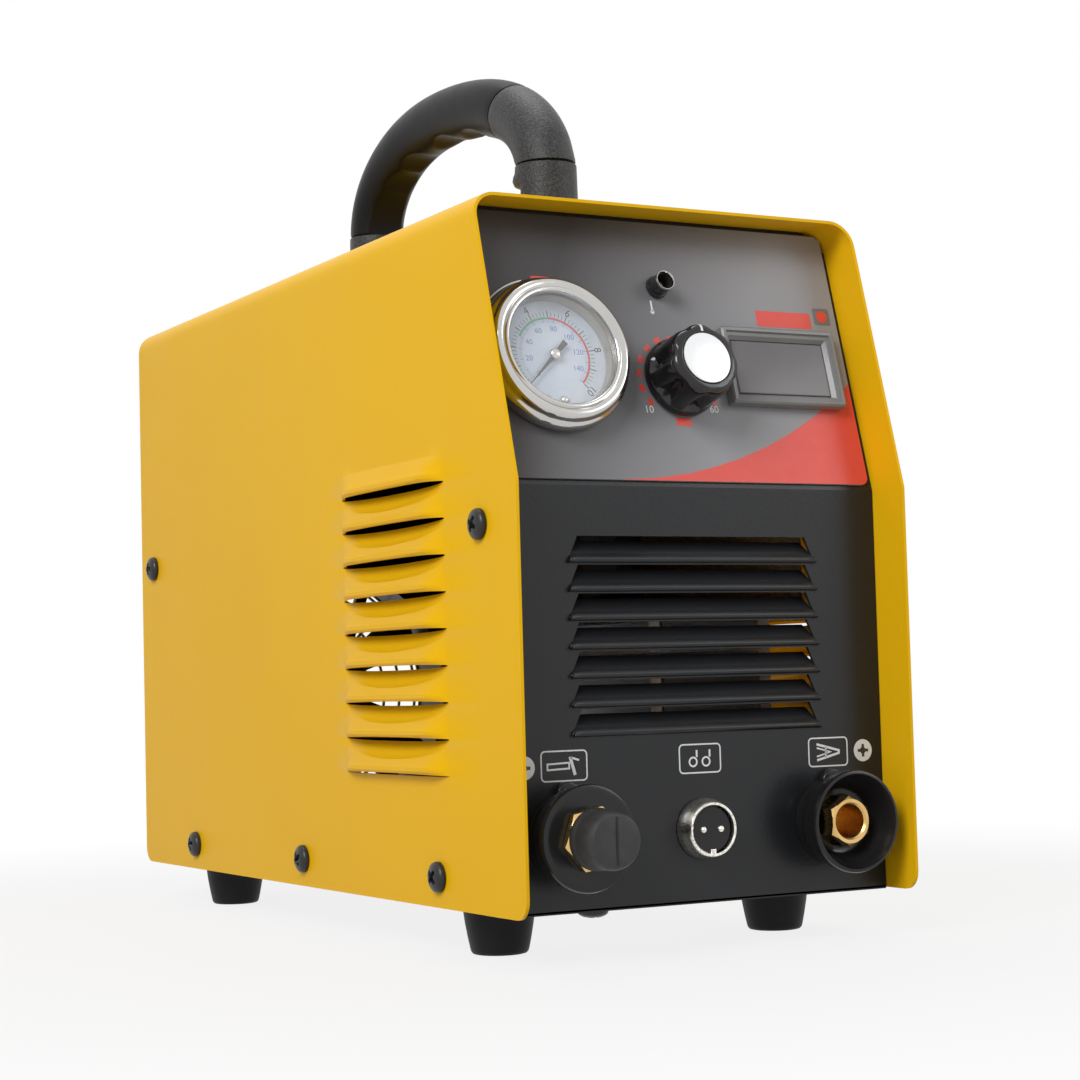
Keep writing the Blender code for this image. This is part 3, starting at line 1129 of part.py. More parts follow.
# ---------------------------------------------------------------- switch, gland, air inlet, earth bolt
def make_switch(rear, looks):
    """Panel rocker switch: framed body with a curved well, and the rocker on its pivot."""
    at = (*SWITCH_CENTRE, 0)
    frame = rounded_rectangle(*SWITCH_FRAME, 0.0012, 2)
    body = piece("power_switch", prism(frame, GAP, SWITCH_RISE), looks["black plastic"], rear, at)
    join(body, tool(box((*SWITCH_BODY, SWITCH_DEPTH), (0, 0, GAP + 0.001 - SWITCH_DEPTH / 2)), rear, at))
    well = box((SWITCH_BODY[0] - 2 * SWITCH_WALL, SWITCH_BODY[1] - 2 * SWITCH_WALL, 0.04),
               (0, 0, SWITCH_RISE - SWITCH_WELL + 0.02))
    cut(body, tool(well, rear, at))
    depth = SWITCH_RISE - SWITCH_WELL / 2
    axle_half = SWITCH_BODY[0] / 2 - SWITCH_WALL / 2
    axle = rod(ROCKER_AXLE_RADIUS + GAP, -axle_half, axle_half, 16)
    cut(body, tool(axle, rear, (at[0], at[1], depth), (0, math.pi / 2, 0)))
    make_rocker(rear, (at[0], at[1], depth), looks["red plastic"])


def make_rocker(rear, at, look):
    """Rocker seen from the side: two sloping faces over a round belly, resting tipped to off."""
    pivot = empty_frame("rocker_pivot", rear, at, (-ROCKER_TILT, 0, 0))
    half_height = SWITCH_BODY[1] / 2 - SWITCH_WALL - 0.0012
    half_width = SWITCH_BODY[0] / 2 - SWITCH_WALL - 0.0006
    tip = SWITCH_RISE - at[2] + 0.0016
    middle = SWITCH_RISE - at[2] + 0.0002
    belly = arc((0, 0.0012), half_height * 0.55, math.pi, 2 * math.pi, 6)
    outline = [(half_height, tip - 0.0030), (half_height - 0.0004, tip), (0, middle), (-half_height + 0.0004, tip),
               (-half_height, tip - 0.0030)] + belly
    rocker = piece("power_rocker", side_prism(outline, half_width), look, pivot)
    axle_half = SWITCH_BODY[0] / 2 - SWITCH_WALL / 2 - GAP
    join(rocker, tool(rod(ROCKER_AXLE_RADIUS, -axle_half, axle_half, 12), pivot, (0, 0, 0), (0, math.pi / 2, 0)))


def make_gland(rear, look):
    """Cable gland: hexagon flange, domed nut and an open bore, with nothing led through it."""
    at = (*GLAND_CENTRE, 0)
    back = -PLATE - 0.010
    flange = prism(hexagon(GLAND_ACROSS), GAP, GLAND_FLANGE)
    gland = piece("cable_gland", flange, look, rear, at)
    dome = arc((GLAND_DOME_RADIUS - 0.004, GLAND_RISE - 0.004), 0.004, math.pi / 2, 0, 4)
    barrel = [(0, GLAND_RISE)] + dome + [(GLAND_DOME_RADIUS, GLAND_FLANGE - 0.001), (0, GLAND_FLANGE - 0.001)]
    join(gland, turned_tool(barrel, rear, at))
    join(gland, tool(rod(GLAND_STEM_RADIUS, back, GAP + 0.001), rear, at))
    nut = prism(hexagon(GLAND_ACROSS - 0.001), -PLATE - GAP - 0.004, -PLATE - GAP)
    join(gland, tool(nut, rear, at))
    cut(gland, tool(rod(GLAND_BORE_RADIUS, back - 0.01, GLAND_RISE + 0.01), rear, at))
    return gland


def make_inlet(rear, look):
    """Brass air inlet: hexagon, barbed hose tail outside, threaded stem and hose tail inside."""
    at = (*INLET_CENTRE, 0)
    hexagon_top = GAP + INLET_HEX
    inlet = piece("air_inlet", prism(hexagon(INLET_ACROSS), GAP, hexagon_top), look, rear, at)
    barbs = [(0, INLET_RISE), (INLET_BARB_TIP, INLET_RISE)]
    pitch = (INLET_RISE - hexagon_top - 0.003) / 4
    for i in range(4):
        low = INLET_RISE - (i + 1) * pitch
        barbs += [(INLET_BARB_RADIUS, low + 0.0012), (INLET_BARB_TIP, low)]
    barbs += [(INLET_BARB_TIP, hexagon_top - 0.001), (0, hexagon_top - 0.001)]
    join(inlet, turned_tool(barbs, rear, at))
    stem = -PLATE - INLET_STEM
    tail = [(0, GAP + 0.001), (INLET_STEM_RADIUS, GAP + 0.001), (INLET_STEM_RADIUS, stem),
            (INLET_TAIL_RADIUS, stem), (INLET_TAIL_RADIUS, stem - 0.009), (0, stem - 0.009)]
    join(inlet, turned_tool(tail, rear, at))
    nut = prism(hexagon(INLET_ACROSS), -PLATE - GAP - 0.003, -PLATE - GAP)
    join(inlet, tool(nut, rear, at))
    cut(inlet, tool(rod(INLET_BORE_RADIUS, INLET_RISE - 0.020, INLET_RISE + 0.01, 12), rear, at))
    return inlet


def make_earth_bolt(rear, look):
    """Protective earth bolt with its nut, on the rear panel."""
    at = (*EARTH_CENTRE, 0)
    bolt = piece("earth_bolt", rod(EARTH_RADIUS, -PLATE - 0.006, EARTH_RISE, 16), look, rear, at)
    join(bolt, tool(prism(hexagon(EARTH_ACROSS), GAP, 0.0045), rear, at))
    return bolt


# ---------------------------------------------------------------- inside the case
def make_heat_sink(name, frame, first, look):
    """Finned extrusion standing on the tray, fins along the air flow."""
    bottom = TRAY_TOP + GAP
    middle_y = first + SINK_LENGTH / 2
    size = (SINK_WIDTH, SINK_LENGTH, SINK_HEIGHT)
    sink = piece(name, box(size), look, frame, (SINK_MIDDLE, middle_y, bottom + SINK_HEIGHT / 2))
    pitch = (SINK_HEIGHT - SINK_FIN) / (SINK_FINS - 1)
    slot = (SINK_WIDTH, SINK_LENGTH + 0.01, pitch - SINK_FIN)
    for i in range(SINK_FINS - 1):
        height = bottom + SINK_FIN + slot[2] / 2 + i * pitch
        cut(sink, tool(box(slot), frame, (SINK_MIDDLE - SINK_BASE, middle_y, height)))
    return sink


def make_board(frame, look):
    """Power board on the heat sinks with its soldered capacitors and choke."""
    top = BOARD_BOTTOM + BOARD_THICKNESS
    middle_y = (SINK_FIRST + SINK_REAR + SINK_LENGTH) / 2
    at = (BOARD_MIDDLE, middle_y, BOARD_BOTTOM)
    board = piece("power_board", box((*BOARD, BOARD_THICKNESS), (0, 0, BOARD_THICKNESS / 2)), look, frame, at)
    bead = 0.0012
    can = [(0, CAPACITOR_HEIGHT), (CAPACITOR_RADIUS - bead, CAPACITOR_HEIGHT),
           (CAPACITOR_RADIUS, CAPACITOR_HEIGHT - bead), (CAPACITOR_RADIUS, 0.006), (CAPACITOR_RADIUS - bead, 0.004),
           (CAPACITOR_RADIUS, 0.002), (CAPACITOR_RADIUS, -bead / 2), (0, -bead / 2)]
    for i in range(CAPACITORS):
        y = middle_y + (i - (CAPACITORS - 1) / 2) * CAPACITOR_PITCH
        join(board, turned_tool(can, frame, (BOARD_MIDDLE - BOARD[0] * 0.3, y, top)))
    choke = box(CHOKE_SIZE, (0, 0, CHOKE_SIZE[2] / 2 - bead / 2))
    join(board, tool(choke, frame, (BOARD_MIDDLE + BOARD[0] * 0.25, middle_y + BOARD[1] * 0.25, top)))
    return board


def make_transformer(frame, look):
    """Ferrite transformer: winding round the middle of a rectangular core."""
    width, length, height = CORE_SIZE
    bottom = TRAY_TOP + GAP
    at = (*CORE_CENTRE, bottom + height / 2)
    core = piece("transformer", box(CORE_SIZE), look, frame, at)
    eye = ((width - 3 * CORE_LIMB) / 2 + CORE_LIMB * 0.2, length - 2 * CORE_LIMB, height + 0.01)
    for side in (-1, 1):
        x = at[0] + side * (CORE_LIMB / 2 + eye[0] / 2)
        cut(core, tool(box(eye), frame, (x, at[1], at[2])))
    winding = rounded_rectangle(CORE_LIMB + 2 * eye[0] - 0.0012, length - 2 * CORE_LIMB - 0.001, 0.003, 3)
    bundle = prism(winding, -height / 2 + 0.004, height / 2 + WINDING_GROWTH)
    join(core, tool(bundle, frame, at))
    return core


def make_air_line(frame, looks):
    """Solenoid valve on the tray, and the hose that brings the air from the rear inlet to it."""
    bottom = TRAY_TOP + GAP
    x, y = VALVE_CENTRE
    width, length, height = VALVE_SIZE
    valve = piece("air_valve", box(VALVE_SIZE), looks["brass"], frame, (x, y, bottom + height / 2))
    soften(valve, 0.0015)
    coil_top = bottom + height + COIL_HEIGHT
    coil = [(0, coil_top), (COIL_RADIUS - 0.002, coil_top), (COIL_RADIUS, coil_top - 0.002),
            (COIL_RADIUS, bottom + height - 0.001), (0, bottom + height - 0.001)]
    join(valve, turned_tool(coil, frame, (x, y, 0)))
    tail_end = y + length / 2 + 0.009
    spout = rod(INLET_TAIL_RADIUS, 0, tail_end - y, 16)
    join(valve, tool(spout, frame, (x, y, bottom + height / 2), (-math.pi / 2, 0, 0)))
    make_hose(frame, (x, y + length / 2, bottom + height / 2), looks["hose"])


def make_hose(frame, valve_port, look):
    """Air hose down the left side, from the rear inlet to the valve, pushed over their two tails."""
    x, y, z = valve_port
    start = Vector((-INLET_CENTRE[0], REAR_FACE - PLATE - INLET_STEM - GAP, INLET_CENTRE[1]))
    side = -HALF_WIDTH + HOSE_SIDE
    route = [start, start - Vector((0, 0.014, 0)), start - Vector((0.006, 0.031, 0.014)),
             Vector((side + 0.010, FAN_INNER - 0.026, FAN_HEIGHT + 0.062)),
             Vector((side, FAN_INNER - 0.028, FAN_HEIGHT + 0.017)),
             Vector((side, FAN_INNER - 0.042, z + 0.036)), Vector((side, FAN_INNER - 0.066, z + 0.016)),
             Vector((side + 0.005, (FAN_INNER + y) / 2, z + 0.004)), Vector((x - 0.005, y + 0.060, z)),
             Vector((x, y + 0.024, z)), Vector((x, y + GAP, z))]
    hose = swept("air_hose", smooth(route, 3), HOSE_RADIUS, 2, look, frame)
    bore = rod(INLET_TAIL_RADIUS + GAP, -0.001, 0.0105, 10)
    cut(hose, tool(bore, frame, start, (math.pi / 2, 0, 0)))
    cut(hose, tool(bore.copy(), frame, (x, y, z), (-math.pi / 2, 0, 0)))
    return hose


def smooth(points, steps):
    """A curve through all the points, with straight first and last spans."""
    path = [points[0]]
    for i in range(1, len(points) - 2):
        before, here, after, beyond = points[i - 1:i + 3]
        for k in range(steps):
            t = k / steps
            path.append(0.5 * (2 * here + (after - before) * t + (2 * before - 5 * here + 4 * after - beyond) * t ** 2
                               + (3 * here - before - 3 * after + beyond) * t ** 3))
    return path + points[-2:]


# ---------------------------------------------------------------- the whole unit
def all_looks():
    return {
        "yellow": material("yellow powder coat", (0.77, 0.46, 0.04), 0.42),
        "black coat": material("black powder coat", (0.022, 0.023, 0.025), 0.48),
        "fascia": material("printed grey", (0.085, 0.085, 0.092), 0.40),
        "zinc": material("zinc-plated sheet", (0.56, 0.57, 0.58), 0.38, 1.0),
        "steel": material("plated steel", (0.58, 0.58, 0.57), 0.30, 1.0),
        "black steel": material("black steel", (0.02, 0.02, 0.02), 0.40, 0.8),
        "chrome": material("chrome", (0.80, 0.80, 0.81), 0.08, 1.0),
        "nickel": material("nickel", (0.66, 0.63, 0.58), 0.22, 1.0),
        "brass": material("brass", (0.72, 0.50, 0.20), 0.28, 1.0),
        "aluminium": material("aluminium", (0.74, 0.75, 0.76), 0.30, 1.0),
        "rubber": material("rubber", (0.018, 0.018, 0.019), 0.70),
        "grip": material("grip plastic", (0.030, 0.031, 0.034), 0.55),
        "black plastic": material("black plastic", (0.016, 0.016, 0.017), 0.38),
        "gloss black": material("gloss black plastic", (0.012, 0.012, 0.012), 0.12),
        "red plastic": material("red plastic", (0.62, 0.02, 0.015), 0.30),
        "white": material("dial white", (0.85, 0.85, 0.83), 0.45),
        "glass": material("clear glass", (0.92, 0.94, 0.95), 0.03),
        "dark glass": material("dark window", (0.012, 0.012, 0.014), 0.08),
        "red lens": material("red lens", (0.60, 0.02, 0.02), 0.15),
        "board": material("circuit board", (0.02, 0.16, 0.06), 0.45),
        "winding": material("ferrite and copper", (0.30, 0.13, 0.05), 0.45),
        "hose": material("air hose", (0.03, 0.10, 0.32), 0.35),
    }


def collection(name):
    group = bpy.data.collections.new(name)
    bpy.context.scene.collection.children.link(group)
    return group


for leftover in list(bpy.data.objects):
    bpy.data.objects.remove(leftover, do_unlink=True)
PARTS = collection("plasma_cutter")
TOOLS = collection("tools")
LOOKS = all_looks()

UNIT = empty_frame("unit", None, (0, -MIDDLE_Y, FOOT_HEIGHT))
FRONT = empty_frame("front", UNIT, (0, FRONT_RECESS, 0), (math.pi / 2, 0, 0))
INCLINE = empty_frame("incline", UNIT, (0, FRONT_RECESS, KINK_HEIGHT), (math.pi / 2 - SLOPE, 0, 0))
REAR = empty_frame("rear", UNIT, (0, REAR_FACE, 0), (math.pi / 2, 0, math.pi))

make_cover(UNIT, LOOKS["yellow"])
make_side_screws(UNIT, LOOKS["black steel"])
make_front_panel(UNIT, FRONT, INCLINE, LOOKS["black coat"])
make_fascia(INCLINE, LOOKS["fascia"])
make_tray(UNIT, LOOKS["zinc"])
make_rear_panel(UNIT, REAR, LOOKS["black coat"])
make_screw("base_screw", UNIT, (*BASE_SCREW, 0), (math.pi, 0, 0), LOOKS["black steel"])
make_feet(UNIT, LOOKS["rubber"])
make_handle(UNIT, LOOKS["grip"])

make_gauge(INCLINE, LOOKS)
make_meter(INCLINE, LOOKS)
make_knob(INCLINE, LOOKS)
make_lamp(INCLINE, LOOKS)
make_torch_socket(FRONT, LOOKS)
make_pilot_socket(FRONT, LOOKS)
make_earth_socket(FRONT, LOOKS)

make_fan_frame(REAR, LOOKS["black plastic"])
make_fan_rotor(REAR, LOOKS["black plastic"])
make_guard(REAR, LOOKS["chrome"])
make_switch(REAR, LOOKS)
make_gland(REAR, LOOKS["black plastic"])
make_inlet(REAR, LOOKS["brass"])
make_earth_bolt(REAR, LOOKS["steel"])

make_heat_sink("heat_sink_front", UNIT, SINK_FIRST, LOOKS["aluminium"])
make_heat_sink("heat_sink_rear", UNIT, SINK_REAR, LOOKS["aluminium"])
make_board(UNIT, LOOKS["board"])
make_transformer(UNIT, LOOKS["winding"])
make_air_line(UNIT, LOOKS)
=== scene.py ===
"""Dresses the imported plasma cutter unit: powder-coated case, printed front, gauge, sockets, handle, fan."""
import json
import math

import bmesh
import bpy
from mathutils import Matrix, Vector

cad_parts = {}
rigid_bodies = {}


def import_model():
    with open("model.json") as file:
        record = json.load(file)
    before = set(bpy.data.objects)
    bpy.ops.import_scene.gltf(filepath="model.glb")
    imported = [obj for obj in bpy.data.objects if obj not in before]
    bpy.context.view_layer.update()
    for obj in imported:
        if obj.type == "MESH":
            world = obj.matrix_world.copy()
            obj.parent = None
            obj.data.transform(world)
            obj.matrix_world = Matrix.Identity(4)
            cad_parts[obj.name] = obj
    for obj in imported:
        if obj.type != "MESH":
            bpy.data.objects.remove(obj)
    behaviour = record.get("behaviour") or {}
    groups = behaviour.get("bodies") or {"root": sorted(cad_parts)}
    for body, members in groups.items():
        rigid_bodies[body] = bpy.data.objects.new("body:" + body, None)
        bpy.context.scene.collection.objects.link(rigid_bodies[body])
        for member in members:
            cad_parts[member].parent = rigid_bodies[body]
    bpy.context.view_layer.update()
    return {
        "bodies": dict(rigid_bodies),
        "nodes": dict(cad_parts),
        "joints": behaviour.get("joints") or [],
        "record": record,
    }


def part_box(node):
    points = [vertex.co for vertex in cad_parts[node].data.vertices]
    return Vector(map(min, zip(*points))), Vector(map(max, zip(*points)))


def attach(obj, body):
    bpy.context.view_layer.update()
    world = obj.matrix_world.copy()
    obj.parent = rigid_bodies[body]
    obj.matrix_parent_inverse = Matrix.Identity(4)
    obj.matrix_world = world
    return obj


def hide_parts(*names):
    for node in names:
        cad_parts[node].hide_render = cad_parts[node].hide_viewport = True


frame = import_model()
nodes = frame["nodes"]

# The camera stands low, in front of the left side, and looks slightly up with a long lens.
# Its place, heading, pitch and roll were solved from the edges of the real case.
cover_low, cover_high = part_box("cover")
case = Matrix.Translation((0, cover_low.y, cover_low.z))    # x 0 mid, y 0 front edge, z 0 cover's bottom
camera_at = case @ Vector((-0.42706, -0.65183, 0.07542))
heading, pitch, roll = math.radians(28.768), math.radians(3.513), math.radians(-1.552)
camera = bpy.data.objects.new("camera", bpy.data.cameras.new("camera"))
camera.data.sensor_width = 36
camera.data.lens = 77.42
camera.data.clip_start = 0.02
camera.matrix_world = (Matrix.Translation(camera_at) @ Matrix.Rotation(-heading, 4, "Z")
                       @ Matrix.Rotation(math.pi / 2 + pitch, 4, "X") @ Matrix.Rotation(roll, 4, "Z"))
bpy.context.scene.collection.objects.link(camera)
bpy.context.scene.camera = camera
bpy.context.scene.view_settings.view_transform = "Standard"


# Every material is put together by expressions. A Signal is one output of a shader node, and arithmetic
# on it adds Math nodes; a Finish is a material with its Principled shader.
class Signal:
    def __init__(self, finish, output):
        self.finish = finish
        self.output = output

    def math(self, operation, other, swapped=False):
        first, second = (other, self) if swapped else (self, other)
        return self.finish.add("ShaderNodeMath", {"operation": operation}, {0: first, 1: second})["Value"]

    def __add__(self, other):
        return self.math("ADD", other)

    __radd__ = __add__

    def __sub__(self, other):
        return self.math("SUBTRACT", other)

    def __rsub__(self, other):
        return self.math("SUBTRACT", other, swapped=True)

    def __mul__(self, other):
        return self.math("MULTIPLY", other)

    __rmul__ = __mul__

    def step(self, edge, softness):
        """0 below the edge and 1 above it, over a soft band."""
        settings = {"interpolation_type": "SMOOTHSTEP"}
        inputs = {"Value": self, "From Min": edge - softness, "From Max": edge + softness}
        return self.finish.add("ShaderNodeMapRange", settings, inputs)["Result"]


class Outputs:
    def __init__(self, finish, node):
        self.finish = finish
        self.node = node

    def __getitem__(self, name):
        return Signal(self.finish, self.node.outputs[name])


class Finish:
    def __init__(self, name, colour, roughness, metallic=0.0):
        self.material = bpy.data.materials.new(name)
        self.material.use_nodes = True
        self.tree = self.material.node_tree
        self.shader = self.tree.nodes["Principled BSDF"]
        self.set("Base Color", (*colour, 1))
        self.set("Roughness", roughness)
        self.set("Metallic", metallic)

    def add(self, kind, settings, inputs):
        node = self.tree.nodes.new(kind)
        for key, value in settings.items():
            setattr(node, key, value)
        for key, value in inputs.items():
            self.plug(node.inputs[key], value)
        return Outputs(self, node)

    def plug(self, socket, value):
        if isinstance(value, Signal):
            self.tree.links.new(value.output, socket)
        else:
            socket.default_value = value

    def set(self, name, value):
        self.plug(self.shader.inputs[name], value)

    def place(self, stretch=(1, 1, 1)):
        """Object coordinates in metres, stretched along the axes."""
        coordinates = self.add("ShaderNodeTexCoord", {}, {})["Object"]
        return self.add("ShaderNodeMapping", {}, {"Vector": coordinates, "Scale": stretch})["Vector"]

    def noise(self, scale, detail=2.0, rough=0.5, stretch=(1, 1, 1)):
        inputs = {"Vector": self.place(stretch), "Scale": scale, "Detail": detail, "Roughness": rough}
        return self.add("ShaderNodeTexNoise", {}, inputs)["Fac"]

    def blend(self, share, first, second):
        """Mixes two colours, or a colour into a signal's colour, by a share from 0 to 1."""
        node = self.tree.nodes.new("ShaderNodeMix")
        node.data_type = "RGBA"
        self.plug(node.inputs["Factor"], share)
        for socket, value in ((node.inputs[6], first), (node.inputs[7], second)):
            self.plug(socket, value if isinstance(value, Signal) else (*value, 1))
        return Signal(self, node.outputs[2])

    def blotch(self, dark, light, scale, detail, edge=0.5, softness=0.3, rough=0.5):
        """Colour that wanders between two tones, patch by patch."""
        self.set("Base Color", self.blend(self.noise(scale, detail, rough).step(edge, softness), dark, light))

    def uneven(self, low, spread, scale, detail):
        """Roughness that wanders up from its lowest value."""
        self.set("Roughness", low + spread * self.noise(scale, detail))

    def relief(self, height, distance):
        """Bump from a height signal; distance is the real height in metres of the signal's range."""
        inputs = {"Height": height, "Distance": distance, "Strength": 1.0}
        self.set("Normal", self.add("ShaderNodeBump", {}, inputs)["Normal"])


# The floor is a pale table top that fades into a white surround, so the object keeps its soft shadow.
# Three large soft lamps light it: a key at the left front, a fill at the right and one overhead.
UNSEEN_STRENGTH = 0.34            # what the white surround lends to matt faces; it is seen at full strength


def white_surround():
    world = bpy.data.worlds.new("surround")
    world.use_nodes = True
    bpy.context.scene.world = world
    tree = world.node_tree
    rays = tree.nodes.new("ShaderNodeLightPath").outputs
    seen = rays["Is Camera Ray"]
    for kind in ("Is Transmission Ray", "Is Glossy Ray"):
        either = tree.nodes.new("ShaderNodeMath")
        either.operation = "MAXIMUM"
        tree.links.new(seen, either.inputs[0])
        tree.links.new(rays[kind], either.inputs[1])
        seen = either.outputs[0]
    strength = tree.nodes.new("ShaderNodeMapRange")
    strength.inputs["To Min"].default_value = UNSEEN_STRENGTH
    tree.links.new(seen, strength.inputs["Value"])
    tree.links.new(strength.outputs["Result"], tree.nodes["Background"].inputs["Strength"])
    tree.nodes["Background"].inputs["Color"].default_value = (1, 1, 1, 1)


def pale_floor():
    table = Finish("table top", (0.55, 0.55, 0.55), 0.6)
    table.set("Specular IOR Level", 0.1)
    away = table.add("ShaderNodeVectorMath", {"operation": "LENGTH"}, {0: table.place()})["Value"]
    fade = away.step(0.42, 0.2)
    surround = table.add("ShaderNodeEmission", {}, {"Color": (1, 1, 1, 1)})["Emission"]
    rays = table.add("ShaderNodeLightPath", {}, {})
    seen = rays["Is Camera Ray"]
    for kind in ("Is Glossy Ray", "Is Transmission Ray"):
        seen = seen.math("MAXIMUM", rays[kind])
    top = table.add("ShaderNodeMixShader", {}, {0: (0.82 + 0.18 * fade) * seen})
    table.plug(top.node.inputs[1], Signal(table, table.shader.outputs["BSDF"]))
    table.plug(top.node.inputs[2], surround)
    table.tree.links.new(top.node.outputs[0], table.tree.nodes["Material Output"].inputs["Surface"])
    shape = bmesh.new()
    bmesh.ops.create_circle(shape, cap_ends=True, segments=96, radius=6.0)
    mesh = bpy.data.meshes.new("table_top")
    shape.to_mesh(mesh)
    shape.free()
    mesh.materials.append(table.material)
    floor = bpy.data.objects.new("table_top", mesh)
    bpy.context.scene.collection.objects.link(floor)


def soft_lamp(name, at, size, power):
    lamp = bpy.data.objects.new(name, bpy.data.lights.new(name, "AREA"))
    lamp.data.size = size
    lamp.data.energy = power
    lamp.location = at
    middle = Vector((0, 0, cover_high.z / 2))
    lamp.rotation_euler = (middle - Vector(at)).to_track_quat("-Z", "Y").to_euler()
    bpy.context.scene.collection.objects.link(lamp)


white_surround()
pale_floor()
soft_lamp("key", (-1.5, -1.1, 1.3), 0.9, 28)
soft_lamp("fill", (1.4, -1.5, 0.9), 0.8, 6.5)
soft_lamp("overhead", (0.2, 0.3, 2.0), 1.0, 11)


# Cover: one steel sheet folded over the case, powder coated yellow. Nine hoods are pressed out of each
# side, and below every slit but the lowest the sheet is pressed in to a shallow dish.
WIDTH = 0.155
LENGTH = 0.362
HEIGHT = 0.2395
KINK = 0.1407                     # height at which the front edge starts to lean back
SETBACK = 0.0267
SLOPE = math.atan2(SETBACK, HEIGHT - KINK)
SHEET = 0.0011
TOP_BEND = 0.009
CORNER = 0.0065
HOODS = 9
HOOD_PITCH = 0.0125
LOWEST_SLIT = 0.0446
HOOD_START, HOOD_END = 0.052, 0.137
BULGE = 0.0042
HOOD_RUN = 0.14                   # share of a hood's length over which it rises at each end
FULLEST, FACE = 0.0016, 0.0028    # above the slit: where a hood is fullest, and where its long face starts
CREASE = 0.0095                   # top crease above the slit
DISH = 0.0024
DISH_REACH = 0.007


def link(item, slot=None, *stands_for, body="case"):
    """Puts an object in the scene, on a body, and hides the nodes that it stands for. The slot is not used."""
    if item.name not in bpy.context.scene.collection.objects:
        bpy.context.scene.collection.objects.link(item)
    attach(item, body)
    if stands_for:
        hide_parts(*stands_for)
    return item


def settle(item, angle=35):
    """Applies an object's modifiers, then keeps only the edges sharper than the angle as sharp."""
    bpy.context.view_layer.update()
    graph = bpy.context.evaluated_depsgraph_get()
    mesh = bpy.data.meshes.new_from_object(item.evaluated_get(graph))
    item.modifiers.clear()
    item.data = mesh
    mesh.shade_smooth()
    mesh.set_sharp_from_angle(angle=math.radians(angle))


def thicken(item, thickness, offset=-1, angle=35):
    """Gives a sheet its thickness, behind its face unless the offset says otherwise."""
    wall = item.modifiers.new("thickness", "SOLIDIFY")
    wall.thickness = thickness
    wall.offset = offset
    link(item)
    settle(item, angle)


def to_object(name, bm, finish, smooth_angle=35, recalculate=True):
    """An object from a bmesh, smooth but for the edges sharper than the angle."""
    if recalculate:
        bmesh.ops.recalc_face_normals(bm, faces=bm.faces)
    mesh = bpy.data.meshes.new(name)
    bm.to_mesh(mesh)
    bm.free()
    mesh.shade_smooth()
    mesh.set_sharp_from_angle(angle=math.radians(smooth_angle))
    mesh.materials.append(finish.material)
    return bpy.data.objects.new(name, mesh)


def front_edge(height):
    if height < CORNER:
        return CORNER - math.sqrt(CORNER ** 2 - (CORNER - height) ** 2)
    return max(0.0, (height - KINK) * math.tan(SLOPE))


def rear_edge(height):
    return LENGTH - (front_edge(height) if height < CORNER else 0.0)


def half_moon(u):
    return math.sqrt(max(0.0, 1 - (2 * u - 1) ** 2))


def rise(u):
    """How a hood comes up out of the flat sheet at its two ends."""
    t = min(1.0, min(u, 1 - u) / HOOD_RUN)
    return math.sin(math.pi / 2 * t) ** 1.15


def ease(t):
    return t * t * (3 - 2 * t)


def hood_rows(slit, lowest, highest):
    """Rows from the dish's bottom lip up to the next dish, each a function of u to height and offset."""
    def below(u):
        if lowest:
            return slit - 0.0003 * half_moon(u), 0.0
        return slit - 0.001 * half_moon(u), -DISH * half_moon(u) ** 1.2

    def lip(u):
        return slit + 0.0006 * half_moon(u), 0.72 * BULGE * rise(u)

    def over(height, share):
        return lambda u: (slit + height, BULGE * share * rise(u))

    rows = [below, lip, over(0.0009, 0.9), over(FULLEST, 1.0), over(FACE, 0.985)]
    top = CREASE if highest else HOOD_PITCH
    steps = [(0.14, 0.35), (0.28, 0.7), (0.42, 0.95), (0.5, 1.05), (0.6, 1.18), (0.72, 1.42), (0.86, 1.72)]
    for even, along in steps:
        rows.append(hood_face(slit, FACE + (top - FACE) * even, along, highest))
    if highest:
        rows.append(lambda u: (slit + CREASE, 0.0))
    return rows


def hood_slope(u, height):
    return BULGE * rise(u) * max(0.0, 1 - (height - FULLEST) / (CREASE - FULLEST)) ** 0.85


def hood_face(slit, even, along, highest):
    """A row on the face of a hood. Towards its middle it follows the rounded edge of the dish above."""
    def row(u):
        moon = half_moon(u)
        if highest or moon == 0:
            return slit + even, hood_slope(u, even)
        edge, lip = HOOD_PITCH - DISH_REACH * moon, HOOD_PITCH - 0.001 * moon
        near = FACE + (edge - FACE) * along if along < 1 else edge + (lip - edge) * (along - 1)
        height = even + (near - even) * moon ** 0.5
        if height <= edge:
            return slit + height, hood_slope(u, height)
        start = hood_slope(u, edge)
        sunk = min(1.0, (height - edge) / (lip - edge)) ** 0.66
        return slit + height, start + (-DISH * moon ** 1.2 - start) * sunk
    return row


